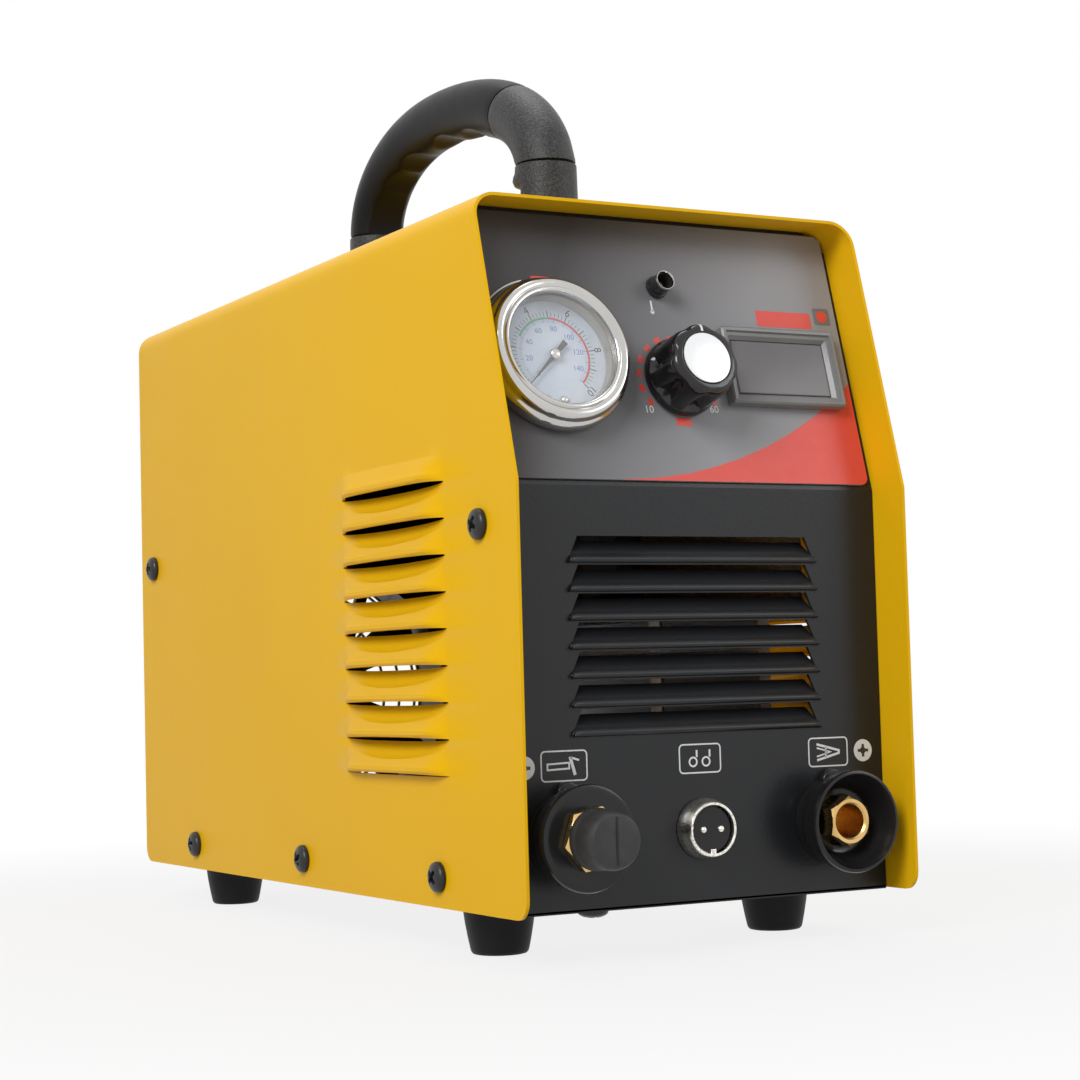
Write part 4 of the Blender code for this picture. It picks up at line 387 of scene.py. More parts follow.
def make_cover_mesh():
    inner = [0.0, 0.012, 0.03, 0.055, 0.09, HOOD_RUN]
    middle = [HOOD_RUN + (1 - 2 * HOOD_RUN) * i / 12 for i in range(1, 12)]
    us = inner + middle + [1 - u for u in reversed(inner)]
    ys = [HOOD_START + (HOOD_END - HOOD_START) * u for u in us]
    behind = [0.15, 0.19, 0.23, 0.27, 0.31, 0.335]
    bm = bmesh.new()

    def flat(x, z):
        front, rear = front_edge(z), rear_edge(z)
        line = [front, front + (ys[0] - front) * 0.5] + ys + behind + [rear]
        return [bm.verts.new((x, y, z)) for y in line]

    rows = [flat(-WIDTH / 2, CORNER * (1 - math.cos(i * math.pi / 12))) for i in range(7)]
    rows += [flat(-WIDTH / 2, z) for z in (0.018, 0.03, 0.04)]
    slits = []
    for k in range(HOODS):
        slit = LOWEST_SLIT + k * HOOD_PITCH
        for kind, maker in enumerate(hood_rows(slit, k == 0, k == HOODS - 1)):
            spots = [maker(u) for u in us]
            row = []
            for j, (z, out) in enumerate(spots):
                if kind == 1 and half_moon(us[j]) == 0:
                    row.append(rows[-1][j + 2])
                    continue
                row.append(bm.verts.new((-WIDTH / 2 - out, ys[j], z)))
            z = spots[0][0]
            if kind == 1:
                front, rear = rows[-1][:2], rows[-1][-7:]
                slits.append(len(rows) - 1)
            else:
                if abs(z - KINK) < 0.0005:
                    z = KINK
                edge = front_edge(z)
                front = [bm.verts.new((-WIDTH / 2, y, z)) for y in (edge, edge + (ys[0] - edge) * 0.5)]
                rear = [bm.verts.new((-WIDTH / 2, y, z)) for y in behind + [rear_edge(z)]]
            rows.append(front + row + rear)
    centre = Vector((-WIDTH / 2 + TOP_BEND, HEIGHT - TOP_BEND))
    rows += [flat(-WIDTH / 2, z) for z in (0.16, 0.175, 0.195, 0.215)]
    for i in range(9):
        angle = math.pi - i * math.pi / 16
        rows.append(flat(centre.x + TOP_BEND * math.cos(angle), centre.y + TOP_BEND * math.sin(angle)))
    rows += [flat(x, HEIGHT) for x in (-0.046, -0.023, 0.0)]
    for i, (low, high) in enumerate(zip(rows, rows[1:])):
        for j in range(len(low) - 1):
            corners = list(dict.fromkeys([low[j], high[j], high[j + 1], low[j + 1]]))
            if len(corners) > 2 and not (i in slits and 2 <= j < len(us) + 1):
                bm.faces.new(corners)
    return bm


def powder_coat(name, colour, deep, rough, gloss):
    """Powder coat: fine orange peel, a slow drift of tone, and a gloss that varies in patches."""
    coat = Finish(name, colour, rough)
    coat.blotch(deep, colour, 9, 3, 0.5, 0.32)
    grime = coat.noise(38, 4, 0.6)
    coat.set("Roughness", rough + 0.1 * (grime - 0.5))
    coat.relief(coat.noise(620, 1, 0.4), 0.00004)
    coat.set("Specular IOR Level", gloss)
    return coat


yellow = powder_coat("yellow_powder_coat", (0.88, 0.5, 0.006), (0.85, 0.475, 0.005), 0.34, 0.07)
cover = to_object("cover_sheet", make_cover_mesh(), yellow, 22, recalculate=False)
cover.data.transform(case)
other_half = cover.modifiers.new("other half", "MIRROR")
other_half.merge_threshold = 0.00001
thicken(cover, SHEET, angle=30)
link(cover, "cover_coat", "cover")


# Screws: ten black pan heads with a cross recess hold the cover, and one more is under the front panel.
# Each head is turned, then the recess is sunk between its four arms.
SCREW_HEAD = 0.00525
SCREW_DOME = 0.0032
SEAT = 0.0003                     # the gap between a fitting and the sheet it stands on


def skin(bm, rows, closed=True, capped=False):
    """Faces between neighbouring rows of points. Closed rows are rings, and caps shut the first and last."""
    for a, b in zip(rows, rows[1:]):
        for j in range(len(a) if closed else len(a) - 1):
            k = (j + 1) % len(a)
            corners = list(dict.fromkeys([a[j], a[k], b[k], b[j]]))
            if len(corners) > 2:
                bm.faces.new(corners)
    if capped:
        bm.faces.new(rows[0])
        bm.faces.new(rows[-1])
    return bm


def ring_points(centre, radius, count):
    return [(centre[0] + radius * math.cos(2 * math.pi * i / count),
             centre[1] + radius * math.sin(2 * math.pi * i / count)) for i in range(count)]


def clamp(share):
    return min(1.0, max(0.0, share))


def screw_mesh():
    """A domed head along Z with a cross-shaped hollow; the underside and a short shank are closed."""
    bm = bmesh.new()
    rings, around = 22, 64
    grid = [[bm.verts.new((0, 0, SEAT + SCREW_DOME - 0.0017))] * around]
    for i in range(1, rings + 1):
        radius = SCREW_HEAD * i / rings
        dome = math.sqrt(max(0.0, 1 - (radius / SCREW_HEAD) ** 2))
        ring = []
        for x, y in ring_points((0, 0), radius, around):
            across, along = sorted((abs(x), abs(y)))
            half_slot = 0.00052 + 0.0003 * max(0.0, 1 - along / 0.0026)
            beside, beyond = (across - half_slot) / 0.00028, (along - 0.0022) / 0.0007
            sunk = (1 - ease(clamp(beside))) * (1 - ease(clamp(beyond)))
            ring.append(bm.verts.new((x, y, SEAT + SCREW_DOME * (0.3 + 0.7 * dome) - 0.0016 * sunk)))
        grid.append(ring)
    for radius, z in ((SCREW_HEAD, SEAT), (0.002, SEAT), (0.002, -0.0065)):
        grid.append([bm.verts.new((*spot, z)) for spot in ring_points((0, 0), radius, around)])
    skin(bm, grid)
    bm.faces.new(grid[-1])
    return bm


black_oxide = Finish("black_oxide", (0.016, 0.016, 0.017), 0.32, 0.2)
black_oxide.uneven(0.22, 0.2, 900, 3)
black_oxide.relief(black_oxide.noise(2600, 2), 0.00003)
first_screw = to_object("screw", screw_mesh(), black_oxide)
screw_shape = first_screw.data
bpy.data.objects.remove(first_screw)
low = [(0.062 + 0.1175 * i, 0.0105) for i in range(3)]
screw_places = dict(zip(("front", "low_front", "low_middle", "low_rear", "rear"),
                        [(0.0256, 0.128), *low, (LENGTH - 0.017, 0.131)]))
for turned, (name, (y, z)) in enumerate(screw_places.items()):
    for side, sign in (("left", -1), ("right", 1)):
        screw = bpy.data.objects.new(f"screw_{side}_{name}", screw_shape)
        screw.matrix_world = (case @ Matrix.Translation((sign * WIDTH / 2, y, z))
                              @ Matrix.Rotation(sign * math.pi / 2, 4, "Y")
                              @ Matrix.Rotation(0.5 + 1.3 * turned + sign, 4, "Z"))
        link(screw, "screw_black", f"side_screw_{side}_{name}")
screw = bpy.data.objects.new("screw_under_panel", screw_shape)
screw.matrix_world = case @ Matrix.Translation((-0.038, 0.027, 0)) @ Matrix.Rotation(math.pi, 4, "X")
link(screw, "screw_black", "base_screw")


# Front panel: one black powder-coated sheet, bent back at the fold, with seven louvres. Each is cut on
# three sides and its flap is pressed inward about the lower bend, so the bends stay as bright rolls.
RECESS = 0.017
PLATE = 0.0012
PANEL_GAP = 0.0003                # between the panels' edges and the cover
INNER = WIDTH / 2 - SHEET - PANEL_GAP
PANEL_TOP = HEIGHT - SHEET - PANEL_GAP
LOUVRES = 7
LOUVRE_PITCH = 0.0096
LOWEST_BEND = 0.0582
WINDOW = 0.008
TOP_HALF, BEND_HALF = 0.0458, 0.05
TILT = math.radians(40)
ROLL = 0.0011                     # radius of the roll along each bend
SOCKETS = 0.053
SOCKET_HEIGHT, PILOT_HEIGHT = 0.0248, 0.0246

front = case @ Matrix.Translation((0, RECESS, 0)) @ Matrix.Rotation(math.pi / 2, 4, "X")
slope = case @ Matrix.Translation((0, RECESS, KINK)) @ Matrix.Rotation(math.pi / 2 - SLOPE, 4, "X")
SLOPE_LENGTH = (PANEL_TOP - KINK) / math.cos(SLOPE)


def pierced_plate(name, outline, holes, finish, thickness):
    """A plate with its face on z 0, filled between an outline and its holes, and thickened behind."""
    curve = bpy.data.curves.new(name, "CURVE")
    curve.dimensions = "2D"
    curve.fill_mode = "BOTH"
    for points in [outline] + holes:
        spline = curve.splines.new("POLY")
        spline.points.add(len(points) - 1)
        for point, (x, y) in zip(spline.points, points):
            point.co = (x, y, 0, 1)
        spline.use_cyclic_u = True
    drawn = bpy.data.objects.new(name, curve)
    bpy.context.scene.collection.objects.link(drawn)
    graph = bpy.context.evaluated_depsgraph_get()
    mesh = bpy.data.meshes.new_from_object(drawn.evaluated_get(graph))
    bpy.data.objects.remove(drawn)
    bm = bmesh.new()
    bm.from_mesh(mesh)
    bmesh.ops.remove_doubles(bm, verts=bm.verts, dist=0.000002)
    if sum(face.normal.z * face.calc_area() for face in bm.faces) < 0:
        bmesh.ops.reverse_faces(bm, faces=bm.faces)
    plate = to_object(name, bm, finish, recalculate=False)
    thicken(plate, thickness)
    return plate


def louvre_window(bend):
    low, high = bend - ROLL, bend + WINDOW
    return [(-BEND_HALF, low), (BEND_HALF, low), (TOP_HALF, high), (-TOP_HALF, high)]


def louvre_flaps():
    """The rolled bend of each louvre and its flap behind the panel, as one bent strip."""
    bm = bmesh.new()
    columns = 56
    for k in range(LOUVRES):
        bend = LOWEST_BEND + k * LOUVRE_PITCH
        section = [(-ROLL, -0.0004), (-0.92 * ROLL, 0.0003), (-0.62 * ROLL, 0.0009), (-0.1 * ROLL, 0.0012),
                   (0.45 * ROLL, 0.0011), (0.95 * ROLL, 0.0007), (1.4 * ROLL, 0.0001)]
        start = section[-1]
        for i in range(1, 6):
            run = (WINDOW - 1.55 * ROLL) * i / 5
            section.append((start[0] + run * math.cos(TILT), start[1] - run * math.sin(TILT)))
        rows = []
        for up, out in section:
            half = BEND_HALF + (TOP_HALF - BEND_HALF) * clamp(up / WINDOW) - 0.0003
            row = []
            for j in range(columns + 1):
                along = half * math.sin(math.pi / 2 * (2 * j / columns - 1))
                ear = math.exp(-((half - abs(along)) / 0.0013) ** 2) * max(0.0, 1 - abs(up) / (1.6 * ROLL))
                row.append(bm.verts.new((along, bend + up - 0.0003 * ear, out + 0.0007 * ear)))
            rows.append(row)
        skin(bm, rows, closed=False)
    return bm


black_coat = powder_coat("black_powder_coat", (0.014, 0.015, 0.017), (0.01, 0.0105, 0.012), 0.31, 0.34)
socket_holes = [ring_points((side * SOCKETS, SOCKET_HEIGHT), 0.0118, 48) for side in (-1, 1)]
socket_holes.append(ring_points((0, PILOT_HEIGHT), 0.0081, 36))
windows = [louvre_window(LOWEST_BEND + k * LOUVRE_PITCH) for k in range(LOUVRES)]
lower_outline = [(-INNER, 0), (INNER, 0), (INNER, KINK), (-INNER, KINK)]
lower = pierced_plate("lower_front", lower_outline, windows + socket_holes, black_coat, PLATE)
lower.matrix_world = front
link(lower, "panel_coat", "front_panel")
flaps = to_object("louvre_flaps", louvre_flaps(), black_coat, 50, recalculate=False)
flaps.matrix_world = front
thicken(flaps, 0.0009, angle=50)
link(flaps, "panel_coat")


def panel_flanges():
    """What turns back from the panel's edges inside the case: at both sides, on top and below."""
    bm = bmesh.new()
    deep, back_y = RECESS + 0.015, RECESS + SETBACK
    thick = RECESS + PLATE
    side = [(thick, 0.002), (thick, KINK), (thick + 0.9 * SETBACK, PANEL_TOP - 0.0096),
            (deep + 0.86 * SETBACK, PANEL_TOP - 0.012), (deep, KINK), (deep, 0.021)]
    for sign in (-1, 1):
        bm.faces.new([bm.verts.new((sign * (INNER - 0.0001), y, z)) for y, z in side])
    for half, first_y, z in ((INNER - 0.0095, back_y, PANEL_TOP), (INNER, RECESS, 0.0001)):
        level = [(-half, first_y), (half, first_y), (half, first_y + 0.015), (-half, first_y + 0.015)]
        bm.faces.new([bm.verts.new((x, y, z)) for x, y in level])
    return bm


flanges = to_object("panel_flanges", panel_flanges(), black_coat, recalculate=False)
flanges.data.transform(case)
thicken(flanges, 0.0011, offset=0)
link(flanges, "panel_coat")


# Slope: the bent-back upper half of the panel, covered by a printed film. The print is a plain grey, a red
# sweep at the lower right, red ticks round the knob and white numbers; the grey darkens to the upper left as
# painted shade.
MARGIN = 0.0018
FILM = 0.0008
FILM_TOP = SEAT + FILM
GAUGE_AT = Vector((-0.0476, 0.45 * SLOPE_LENGTH))
METER_AT = Vector((0.0445, 0.4411 * SLOPE_LENGTH))
KNOB_AT = Vector((0.0015, 0.3895 * SLOPE_LENGTH))
LAMP_AT = Vector((-0.001, 0.7315 * SLOPE_LENGTH))


def rounded(width, height, radius, steps=4, centre=(0, 0)):
    points = []
    for quarter, (sx, sy) in enumerate(((1, 1), (-1, 1), (-1, -1), (1, -1))):
        corner = (centre[0] + sx * (width / 2 - radius), centre[1] + sy * (height / 2 - radius))
        for i in range(steps + 1):
            angle = (quarter + i / steps) * math.pi / 2
            points.append((corner[0] + radius * math.cos(angle), corner[1] + radius * math.sin(angle)))
    return points


slope_holes = [ring_points(GAUGE_AT, 0.0228, 64), ring_points(KNOB_AT, 0.0038, 24),
               ring_points(LAMP_AT, 0.0032, 24), rounded(0.0456, 0.0271, 0.0002, 1, METER_AT)]
slope_outline = [(-INNER, 0), (INNER, 0), (INNER, SLOPE_LENGTH - 0.008), (INNER - 0.008, SLOPE_LENGTH),
                 (0.008 - INNER, SLOPE_LENGTH), (-INNER, SLOPE_LENGTH - 0.008)]
behind = pierced_plate("slope_sheet", slope_outline, slope_holes, black_coat, PLATE)
behind.matrix_world = slope
link(behind, "panel_coat")


def film_print():
    """Grey film with the faint grain of screen printing under a satin coat. Its grey darkens to the upper left
    as painted shade under the cover's lip and lightens to the lower right as painted light.
    """
    film = Finish("fascia_film", (0.1, 0.1, 0.108), 0.36)
    split = film.add("ShaderNodeSeparateXYZ", {}, {"Vector": film.place()})
    across, up = split["X"], split["Y"]
    # Painted light and shade: dark under the cover's lip at the top, lighter towards the lower right.
    painted_light_ramp = across * 12.0 - up * 5.6 + 0.92
    grain = film.noise(1500, 2)
    tone = film.add("ShaderNodeMath", {"operation": "ADD", "use_clamp": True},
                    {0: painted_light_ramp, 1: (grain - 0.5) * 0.1})["Value"]
    film.set("Base Color", film.blend(tone, (0.065, 0.063, 0.066), (0.3, 0.297, 0.31)))
    film.uneven(0.34, 0.08, 60, 3)
    film.relief(film.noise(900, 1), 0.00002)
    film.set("Specular IOR Level", 0.24)
    return film


film_outline = rounded(2 * (INNER - MARGIN), SLOPE_LENGTH - 2 * MARGIN, 0.003, 5, (0, SLOPE_LENGTH / 2))
fascia = pierced_plate("fascia_film", film_outline, slope_holes, film_print(), FILM)
fascia.matrix_world = slope @ Matrix.Translation((0, 0, FILM_TOP))
link(fascia, "fascia_print", "fascia")


# Prints: screen-printed marks on the film and the lower panel, each a skin of ink a few hundredths thick.
# They are the red sweep, the red arc of ticks, the numbers of the current scale and plain pictograms.
INK = 0.00004


def stroke(points, width, closed=False):
    """The outlines of a line of even width: one quad for each span, mitred at the corners."""
    count = len(points)
    points = [Vector(point) for point in points]
    sides = []
    for i, point in enumerate(points):
        before = points[i - 1] if i or closed else point
        after = points[(i + 1) % count] if i < count - 1 or closed else point
        first = (point - before).normalized() if before != point else (after - point).normalized()
        second = (after - point).normalized() if after != point else first
        along = (first + second).normalized()
        across = Vector((-along.y, along.x)) * (width / 2 / max(0.4, along.dot(first)))
        sides.append((point + across, point - across))
    spans = range(count if closed else count - 1)
    return [[sides[i][0], sides[i][1], sides[(i + 1) % count][1], sides[(i + 1) % count][0]] for i in spans]


def sector(centre, inner, outer, first, last, steps):
    """Outlines that fill a part of a ring between two angles."""
    quads = []
    for i in range(steps):
        a, b = (first + (last - first) * (i + k) / steps for k in (0, 1))
        corners = [(inner, a), (outer, a), (outer, b), (inner, b)]
        quads.append([Vector((centre[0] + r * math.cos(t), centre[1] + r * math.sin(t))) for r, t in corners])
    return quads


def disc(centre, radius, count=28):
    return [ring_points(centre, radius, count)]


def lettering(text, centre, height, turn=0.0):
    """Outlines of numbers, taken from the built-in typeface as filled faces."""
    curve = bpy.data.curves.new("numbers", "FONT")
    curve.body = text
    curve.size = height
    curve.align_x = "CENTER"
    curve.align_y = "CENTER"
    curve.resolution_u = 3
    item = bpy.data.objects.new("numbers", curve)
    bpy.context.scene.collection.objects.link(item)
    graph = bpy.context.evaluated_depsgraph_get()
    mesh = bpy.data.meshes.new_from_object(item.evaluated_get(graph))
    bpy.data.objects.remove(item)
    spin = Matrix.Rotation(turn, 2)
    corners = [spin @ vertex.co.xy + Vector(centre) for vertex in mesh.vertices]
    return [[corners[i] for i in face.vertices] for face in mesh.polygons]


def printed(name, outlines, paint, frame, height, slot, body="case"):
    bm = bmesh.new()
    for outline in outlines:
        face = bm.faces.new([bm.verts.new((x, y, 0)) for x, y in outline])
        face.normal_update()
        if face.normal.z < 0:
            face.normal_flip()
    bmesh.ops.remove_doubles(bm, verts=bm.verts, dist=0.000004)
    mark = to_object(name, bm, paint, recalculate=False)
    mark.matrix_world = frame @ Matrix.Translation((0, 0, height + INK))
    thicken(mark, INK)
    link(mark, slot, body=body)


def ink(name, colour, rough=0.38):
    """Printing ink with small breaks in its density."""
    paint = Finish(name, colour, rough)
    faded = tuple(0.86 * part + 0.012 for part in colour)
    paint.blotch(faded, colour, 2400, 3, 0.44, 0.16)
    paint.set("Roughness", rough + 0.1 * (paint.noise(300, 2) - 0.5))
    return paint


def mm(*rows):
    """Rows of sizes given in millimetres, in metres."""
    return [tuple(value / 1000 for value in row) for row in rows]


red_ink = ink("red_ink", (0.74, 0.07, 0.05))
white_ink = ink("white_ink", (0.78, 0.78, 0.78))
grey_ink = ink("grey_ink", (0.16, 0.16, 0.165))
half_film = INNER - MARGIN
sweep = [(-0.029, MARGIN), *mm((-15, 2.6), (-0.3, 4.7), (10.5, 7.3), (21.6, 10.7), (32.9, 15.1), (44.5, 20.6),
                                (56.5, 27.5), (67, 34.9)), (half_film - 0.00002, 0.0405)]
bottom_right = [(half_film - 0.00002, MARGIN + 0.003)] + [
    (half_film - 0.003 * (1 - math.cos(angle)), MARGIN + 0.003 * (1 - math.sin(angle)))
    for angle in (math.radians(20 * i) for i in range(1, 5))] + [(half_film - 0.003, MARGIN + 0.00002)]
smooth_sweep = []
for a, b in zip(sweep, sweep[1:]):
    smooth_sweep += [(a[0] + (b[0] - a[0]) * k / 3, a[1] + (b[1] - a[1]) * k / 3) for k in range(3)]
red_marks = [smooth_sweep + [sweep[-1]] + bottom_right]
red_marks.append(rounded(0.0236, 0.0062, 0.0007, 3, (0.0513, 0.0646)))
for step in range(13):
    middle = math.radians(214 - 20.4 * step)
    red_marks += sector(KNOB_AT, 0.0147, 0.0163 + 0.0003 * (step % 2), middle - 0.09, middle + 0.09, 3)
red_marks.append(rounded(0.0062, 0.003, 0.0004, 2, (KNOB_AT.x - 0.0006, KNOB_AT.y - 0.0158)))
red_marks += sector(GAUGE_AT, 0.0285, 0.03, math.radians(52), math.radians(96), 14)
DOT_AT = (0.0683, 0.0667)
red_marks += disc(DOT_AT, 0.0023)
printed("red_prints", red_marks[:-1], red_ink, slope, FILM_TOP, "fascia_print")
printed("red_dot", red_marks[-1:], red_ink, slope, FILM_TOP + 2 * INK, "fascia_print")
grey_marks = [rounded(0.0072, 0.0066, 0.0008, 3, DOT_AT)]
printed("grey_tag", grey_marks, grey_ink, slope, FILM_TOP, "fascia_print")

white_marks = lettering("10", (-0.0124, 0.0277), 0.0038) + lettering("60", (0.0142, 0.0286), 0.0038)
bulb = LAMP_AT + Vector((-0.003, -0.0092))
white_marks += disc(bulb, 0.0008) + stroke([bulb, bulb + Vector((0, 0.0043))], 0.0007)
white_marks += sector(GAUGE_AT, 0.0285, 0.029, math.radians(104), math.radians(160), 18)
printed("white_prints", white_marks, white_ink, slope, FILM_TOP, "fascia_print")


def pictogram_frame(x, z, width, height):
    return stroke(rounded(width, height, 0.0014, 4, (x, z)), 0.0005, closed=True)


torch_sign = pictogram_frame(-0.0531, 0.0479, 0.0172, 0.0098)
torch_sign += stroke(mm((-59.4, 46.7), (-51.2, 47), (-51.2, 48.9), (-59.4, 48.6)), 0.0006, closed=True)
torch_sign += stroke(mm((-50.8, 50.8), (-49, 44.8)), 0.0011)
torch_sign += stroke(mm((-50.6, 50.6), (-47.4, 49.6)), 0.0007)
plug_sign = pictogram_frame(-0.0002, 0.0483, 0.0164, 0.0096)
for x in (-0.003, 0.0022):
    plug_sign += stroke(ring_points((x, 0.0472), 0.0015, 16), 0.0006, closed=True)
    plug_sign += stroke([(x + 0.0015, 0.0488), (x + 0.0015, 0.0512)], 0.0007)
clamp_sign = pictogram_frame(0.053, 0.0485, 0.0164, 0.0098)
clamp_sign += stroke(mm((48.2, 51.3), (57.6, 48.9), (57.6, 48), (48.2, 45.7)), 0.0008)
for line in (mm((48.2, 50), (54, 48.5), (48.2, 47)), mm((52, 50.3), (52, 46.7))):
    clamp_sign += stroke(line, 0.0006)
signs = torch_sign + plug_sign + clamp_sign
MINUS_AT, PLUS_AT = (-0.068, 0.0477), (0.068, 0.0485)
for centre in (MINUS_AT, PLUS_AT):
    signs += sector(centre, 0.0012, 0.0039, 0, 2 * math.pi, 36)
printed("panel_signs", signs, white_ink, front, 0.0, "panel_coat")
black_ink = ink("black_ink", (0.02, 0.02, 0.021))
strokes = stroke(mm((-70.2, 47.7), (-65.8, 47.7)), 0.0011)
for ends in (mm((65.8, 48.5), (70.2, 48.5)), mm((68, 46.3), (68, 48)), mm((68, 49), (68, 50.7))):
    strokes += stroke(ends, 0.001)
printed("polarity_signs", strokes, black_ink, front, 2 * INK, "panel_coat")


# Pressure gauge: a chromed brass bezel pressed over a flat glass, with a white printed dial behind it.
# The dial has an outer black scale from 0 to 10, an inner blue one from 0 to 150 and two round screws.
def lathe(name, profile, finish, facets=64, angle=30, shape=None):
    """Turns a profile of radius and height pairs; a shape may vary the radius and height round the axis.
    A profile that starts on the axis ends there too; any other one is closed to a ring."""
    bm = bmesh.new()
    poles = {i: bm.verts.new((0, 0, height)) for i, (radius, height) in enumerate(profile) if radius == 0}
    columns = []
    for j in range(facets):
        turn = 2 * math.pi * j / facets
        column = []
        for i, (radius, height) in enumerate(profile):
            r, z = shape(radius, height, turn) if shape else (radius, height)
            column.append(poles.get(i) or bm.verts.new((r * math.cos(turn), r * math.sin(turn), z)))
        columns.append(column)
    skin(bm, columns + columns[:1], closed=not poles)
    return to_object(name, bm, finish, angle)


def place(item, frame, slot, *stands_for, body="case"):
    item.matrix_world = frame
    return link(item, slot, *stands_for, body=body)


def turned(name, profile, finish, frame, slot, *stands_for, facets=64, angle=30, shape=None, body="case"):
    place(lathe(name, profile, finish, facets, angle, shape), frame, slot, *stands_for, body=body)


def prism(outline, low, high, bevel=0.0):
    """An outline raised between two heights, with an optional bevel round its top."""
    bm = bmesh.new()
    face = bm.faces.new([bm.verts.new((x, y, low)) for x, y in outline])
    grown = bmesh.ops.extrude_face_region(bm, geom=[face])
    top = [item for item in grown["geom"] if isinstance(item, bmesh.types.BMVert)]
    bmesh.ops.translate(bm, verts=top, vec=(0, 0, high - low))
    if bevel:
        rim = [edge for edge in bm.edges if all(vert in top for vert in edge.verts)]
        bmesh.ops.bevel(bm, geom=rim, offset=bevel, segments=3, profile=0.5, affect="EDGES")
    return bm


def bright_metal(name, colour, rough, wear=0.08, scale=70):
    """Polished or plated metal with faint smears and hairline scratches."""
    metal = Finish(name, colour, rough, 1.0)
    smear = metal.noise(scale, 4, 0.6)
    hair = metal.noise(260, 3, 0.7, (1, 9, 1))
    metal.set("Roughness", rough + wear * (smear - 0.35) + 0.04 * hair)
    metal.set("Base Color", metal.blend(smear.step(0.55, 0.25), tuple(0.93 * part for part in colour), colour))
    metal.relief(hair, 0.000004)
    return metal


DIAL_TOP = 0.0028
gauge_frame = slope @ Matrix.Translation((*GAUGE_AT, 0))
chrome = bright_metal("chrome", (0.58, 0.57, 0.55), 0.07)
bezel_profile = mm((20.1, 9), (20.3, 10.2), (20.6, 10.7), (21.1, 10.9), (21.7, 10.8), (22, 10.4), (22.2, 10.2),
                   (22.6, 10.4), (23.2, 10.7), (24, 10.7), (24.8, 10.4), (25.4, 9.8), (25.7, 8.9), (25.8, 7.8),
                   (26.1, 7.2), (26.7, 6.8), (27.2, 6), (27.5, 4.9), (27.6, 3.6), (27.5, 2.2), (27, 1.4),
                   (22.8, 1.4), (22.8, 7.2), (20.8, 7.2), (20.8, 9))
turned("gauge_rim", bezel_profile, chrome, gauge_frame, "gauge_chrome", "gauge_bezel", facets=128, angle=40)
seal = Finish("gauge_seal", (0.45, 0.43, 0.38), 0.35, 0.6)
seal.uneven(0.3, 0.2, 500, 2)
wall_profile = mm((19.9, 3.1), (19.9, 7.5), (21.3, 7.5), (21.3, 3.1))
turned("gauge_wall", wall_profile, seal, gauge_frame, "gauge_steel", facets=96, angle=40)

glass = Finish("gauge_glass_clear", (0.97, 0.98, 0.98), 0.02)
glass.set("Alpha", 0.1)
glass.uneven(0.02, 0.03, 90, 3)
glass.set("Specular IOR Level", 0.5)
glass.material.surface_render_method = "DITHERED"
lens = mm((0, 8.9), (19, 8.9), (20.5, 8.8), (20.5, 7.7), (0, 7.7))
turned("gauge_lens", lens, glass, gauge_frame, "gauge_glass", "gauge_glass", facets=96)

dial_painted_reflection = Finish("dial_enamel_painted_glass_tint", (0.8, 0.82, 0.83), 0.42)
# The blue-grey blotches on the white dial are a painted reflection of the glass over it.
dial_painted_reflection.blotch((0.56, 0.64, 0.76), (0.66, 0.72, 0.81), 180, 3)
dial_painted_reflection.uneven(0.38, 0.12, 500, 2)
face = mm((1, 2.8), (21.2, 2.8), (21.2, 2.1), (1, 2.1))
turned("dial_plate", face, dial_painted_reflection, gauge_frame, "dial_white", "gauge_dial", facets=96)


def dial_angle(share):
    """Where a share of the scale lies: zero at the lower left, clockwise round to the lower right."""
    return math.radians(225 - 270 * share)


def dial_spot(radius, angle):
    return Vector((radius * math.cos(angle), radius * math.sin(angle)))


def dial_ticks(count, inner, outer, width, skip=None):
    marks = []
    for i in range(count + 1):
        if skip and i % skip == 0:
            continue
        angle = dial_angle(i / count)
        marks += stroke([dial_spot(inner, angle), dial_spot(outer, angle)], width)
    return marks


outer_marks = dial_ticks(50, 0.0143, 0.0158, 0.00018, 5) + dial_ticks(10, 0.0141, 0.0164, 0.00034)
inner_marks = dial_ticks(75, 0.0121, 0.0129, 0.0001, 5) + dial_ticks(15, 0.0119, 0.0132, 0.00022)
for i in range(0, 11, 2):
    angle = dial_angle(i / 10)
    outer_marks += lettering(str(i), dial_spot(0.0176, angle), 0.0038, angle - math.pi / 2)
for i in range(0, 160, 20):
    angle = dial_angle(i / 150)
    inner_marks += lettering(str(i), dial_spot(0.0098, angle), 0.0028)
arcs = {name: sector((0, 0), 0.0132, 0.014, dial_angle(first), dial_angle(last), steps)
        for name, first, last, steps in (("green", 0.27, 0.5, 30), ("red", 0.5, 1.0, 50))}
for name, marks, paint, colour in (("outer_scale", outer_marks, "dial_black", (0.03, 0.03, 0.035)),
                                   ("inner_scale", inner_marks, "dial_blue", (0.1, 0.22, 0.55)),
                                   ("green_arc", arcs["green"], "dial_green", (0.1, 0.4, 0.22)),
                                   ("red_arc", arcs["red"], "dial_red", (0.62, 0.05, 0.05))):
    printed(f"dial_{name}", marks, ink(paint, colour, 0.4), gauge_frame, DIAL_TOP, "dial_white")
steel = bright_metal("bright_steel", (0.62, 0.61, 0.58), 0.24, 0.12, 200)
for side, x in (("left", -0.0052), ("right", 0.0012)):
    rivet = mm((0, 4.2), (0.8, 4.1), (1.4, 3.6), (1.6, 2.9), (0, 2.9))
    turned(f"dial_screw_{side}", rivet, steel, gauge_frame @ Matrix.Translation((x, -0.0163, 0)), "shaft_steel",
           facets=32, angle=40)


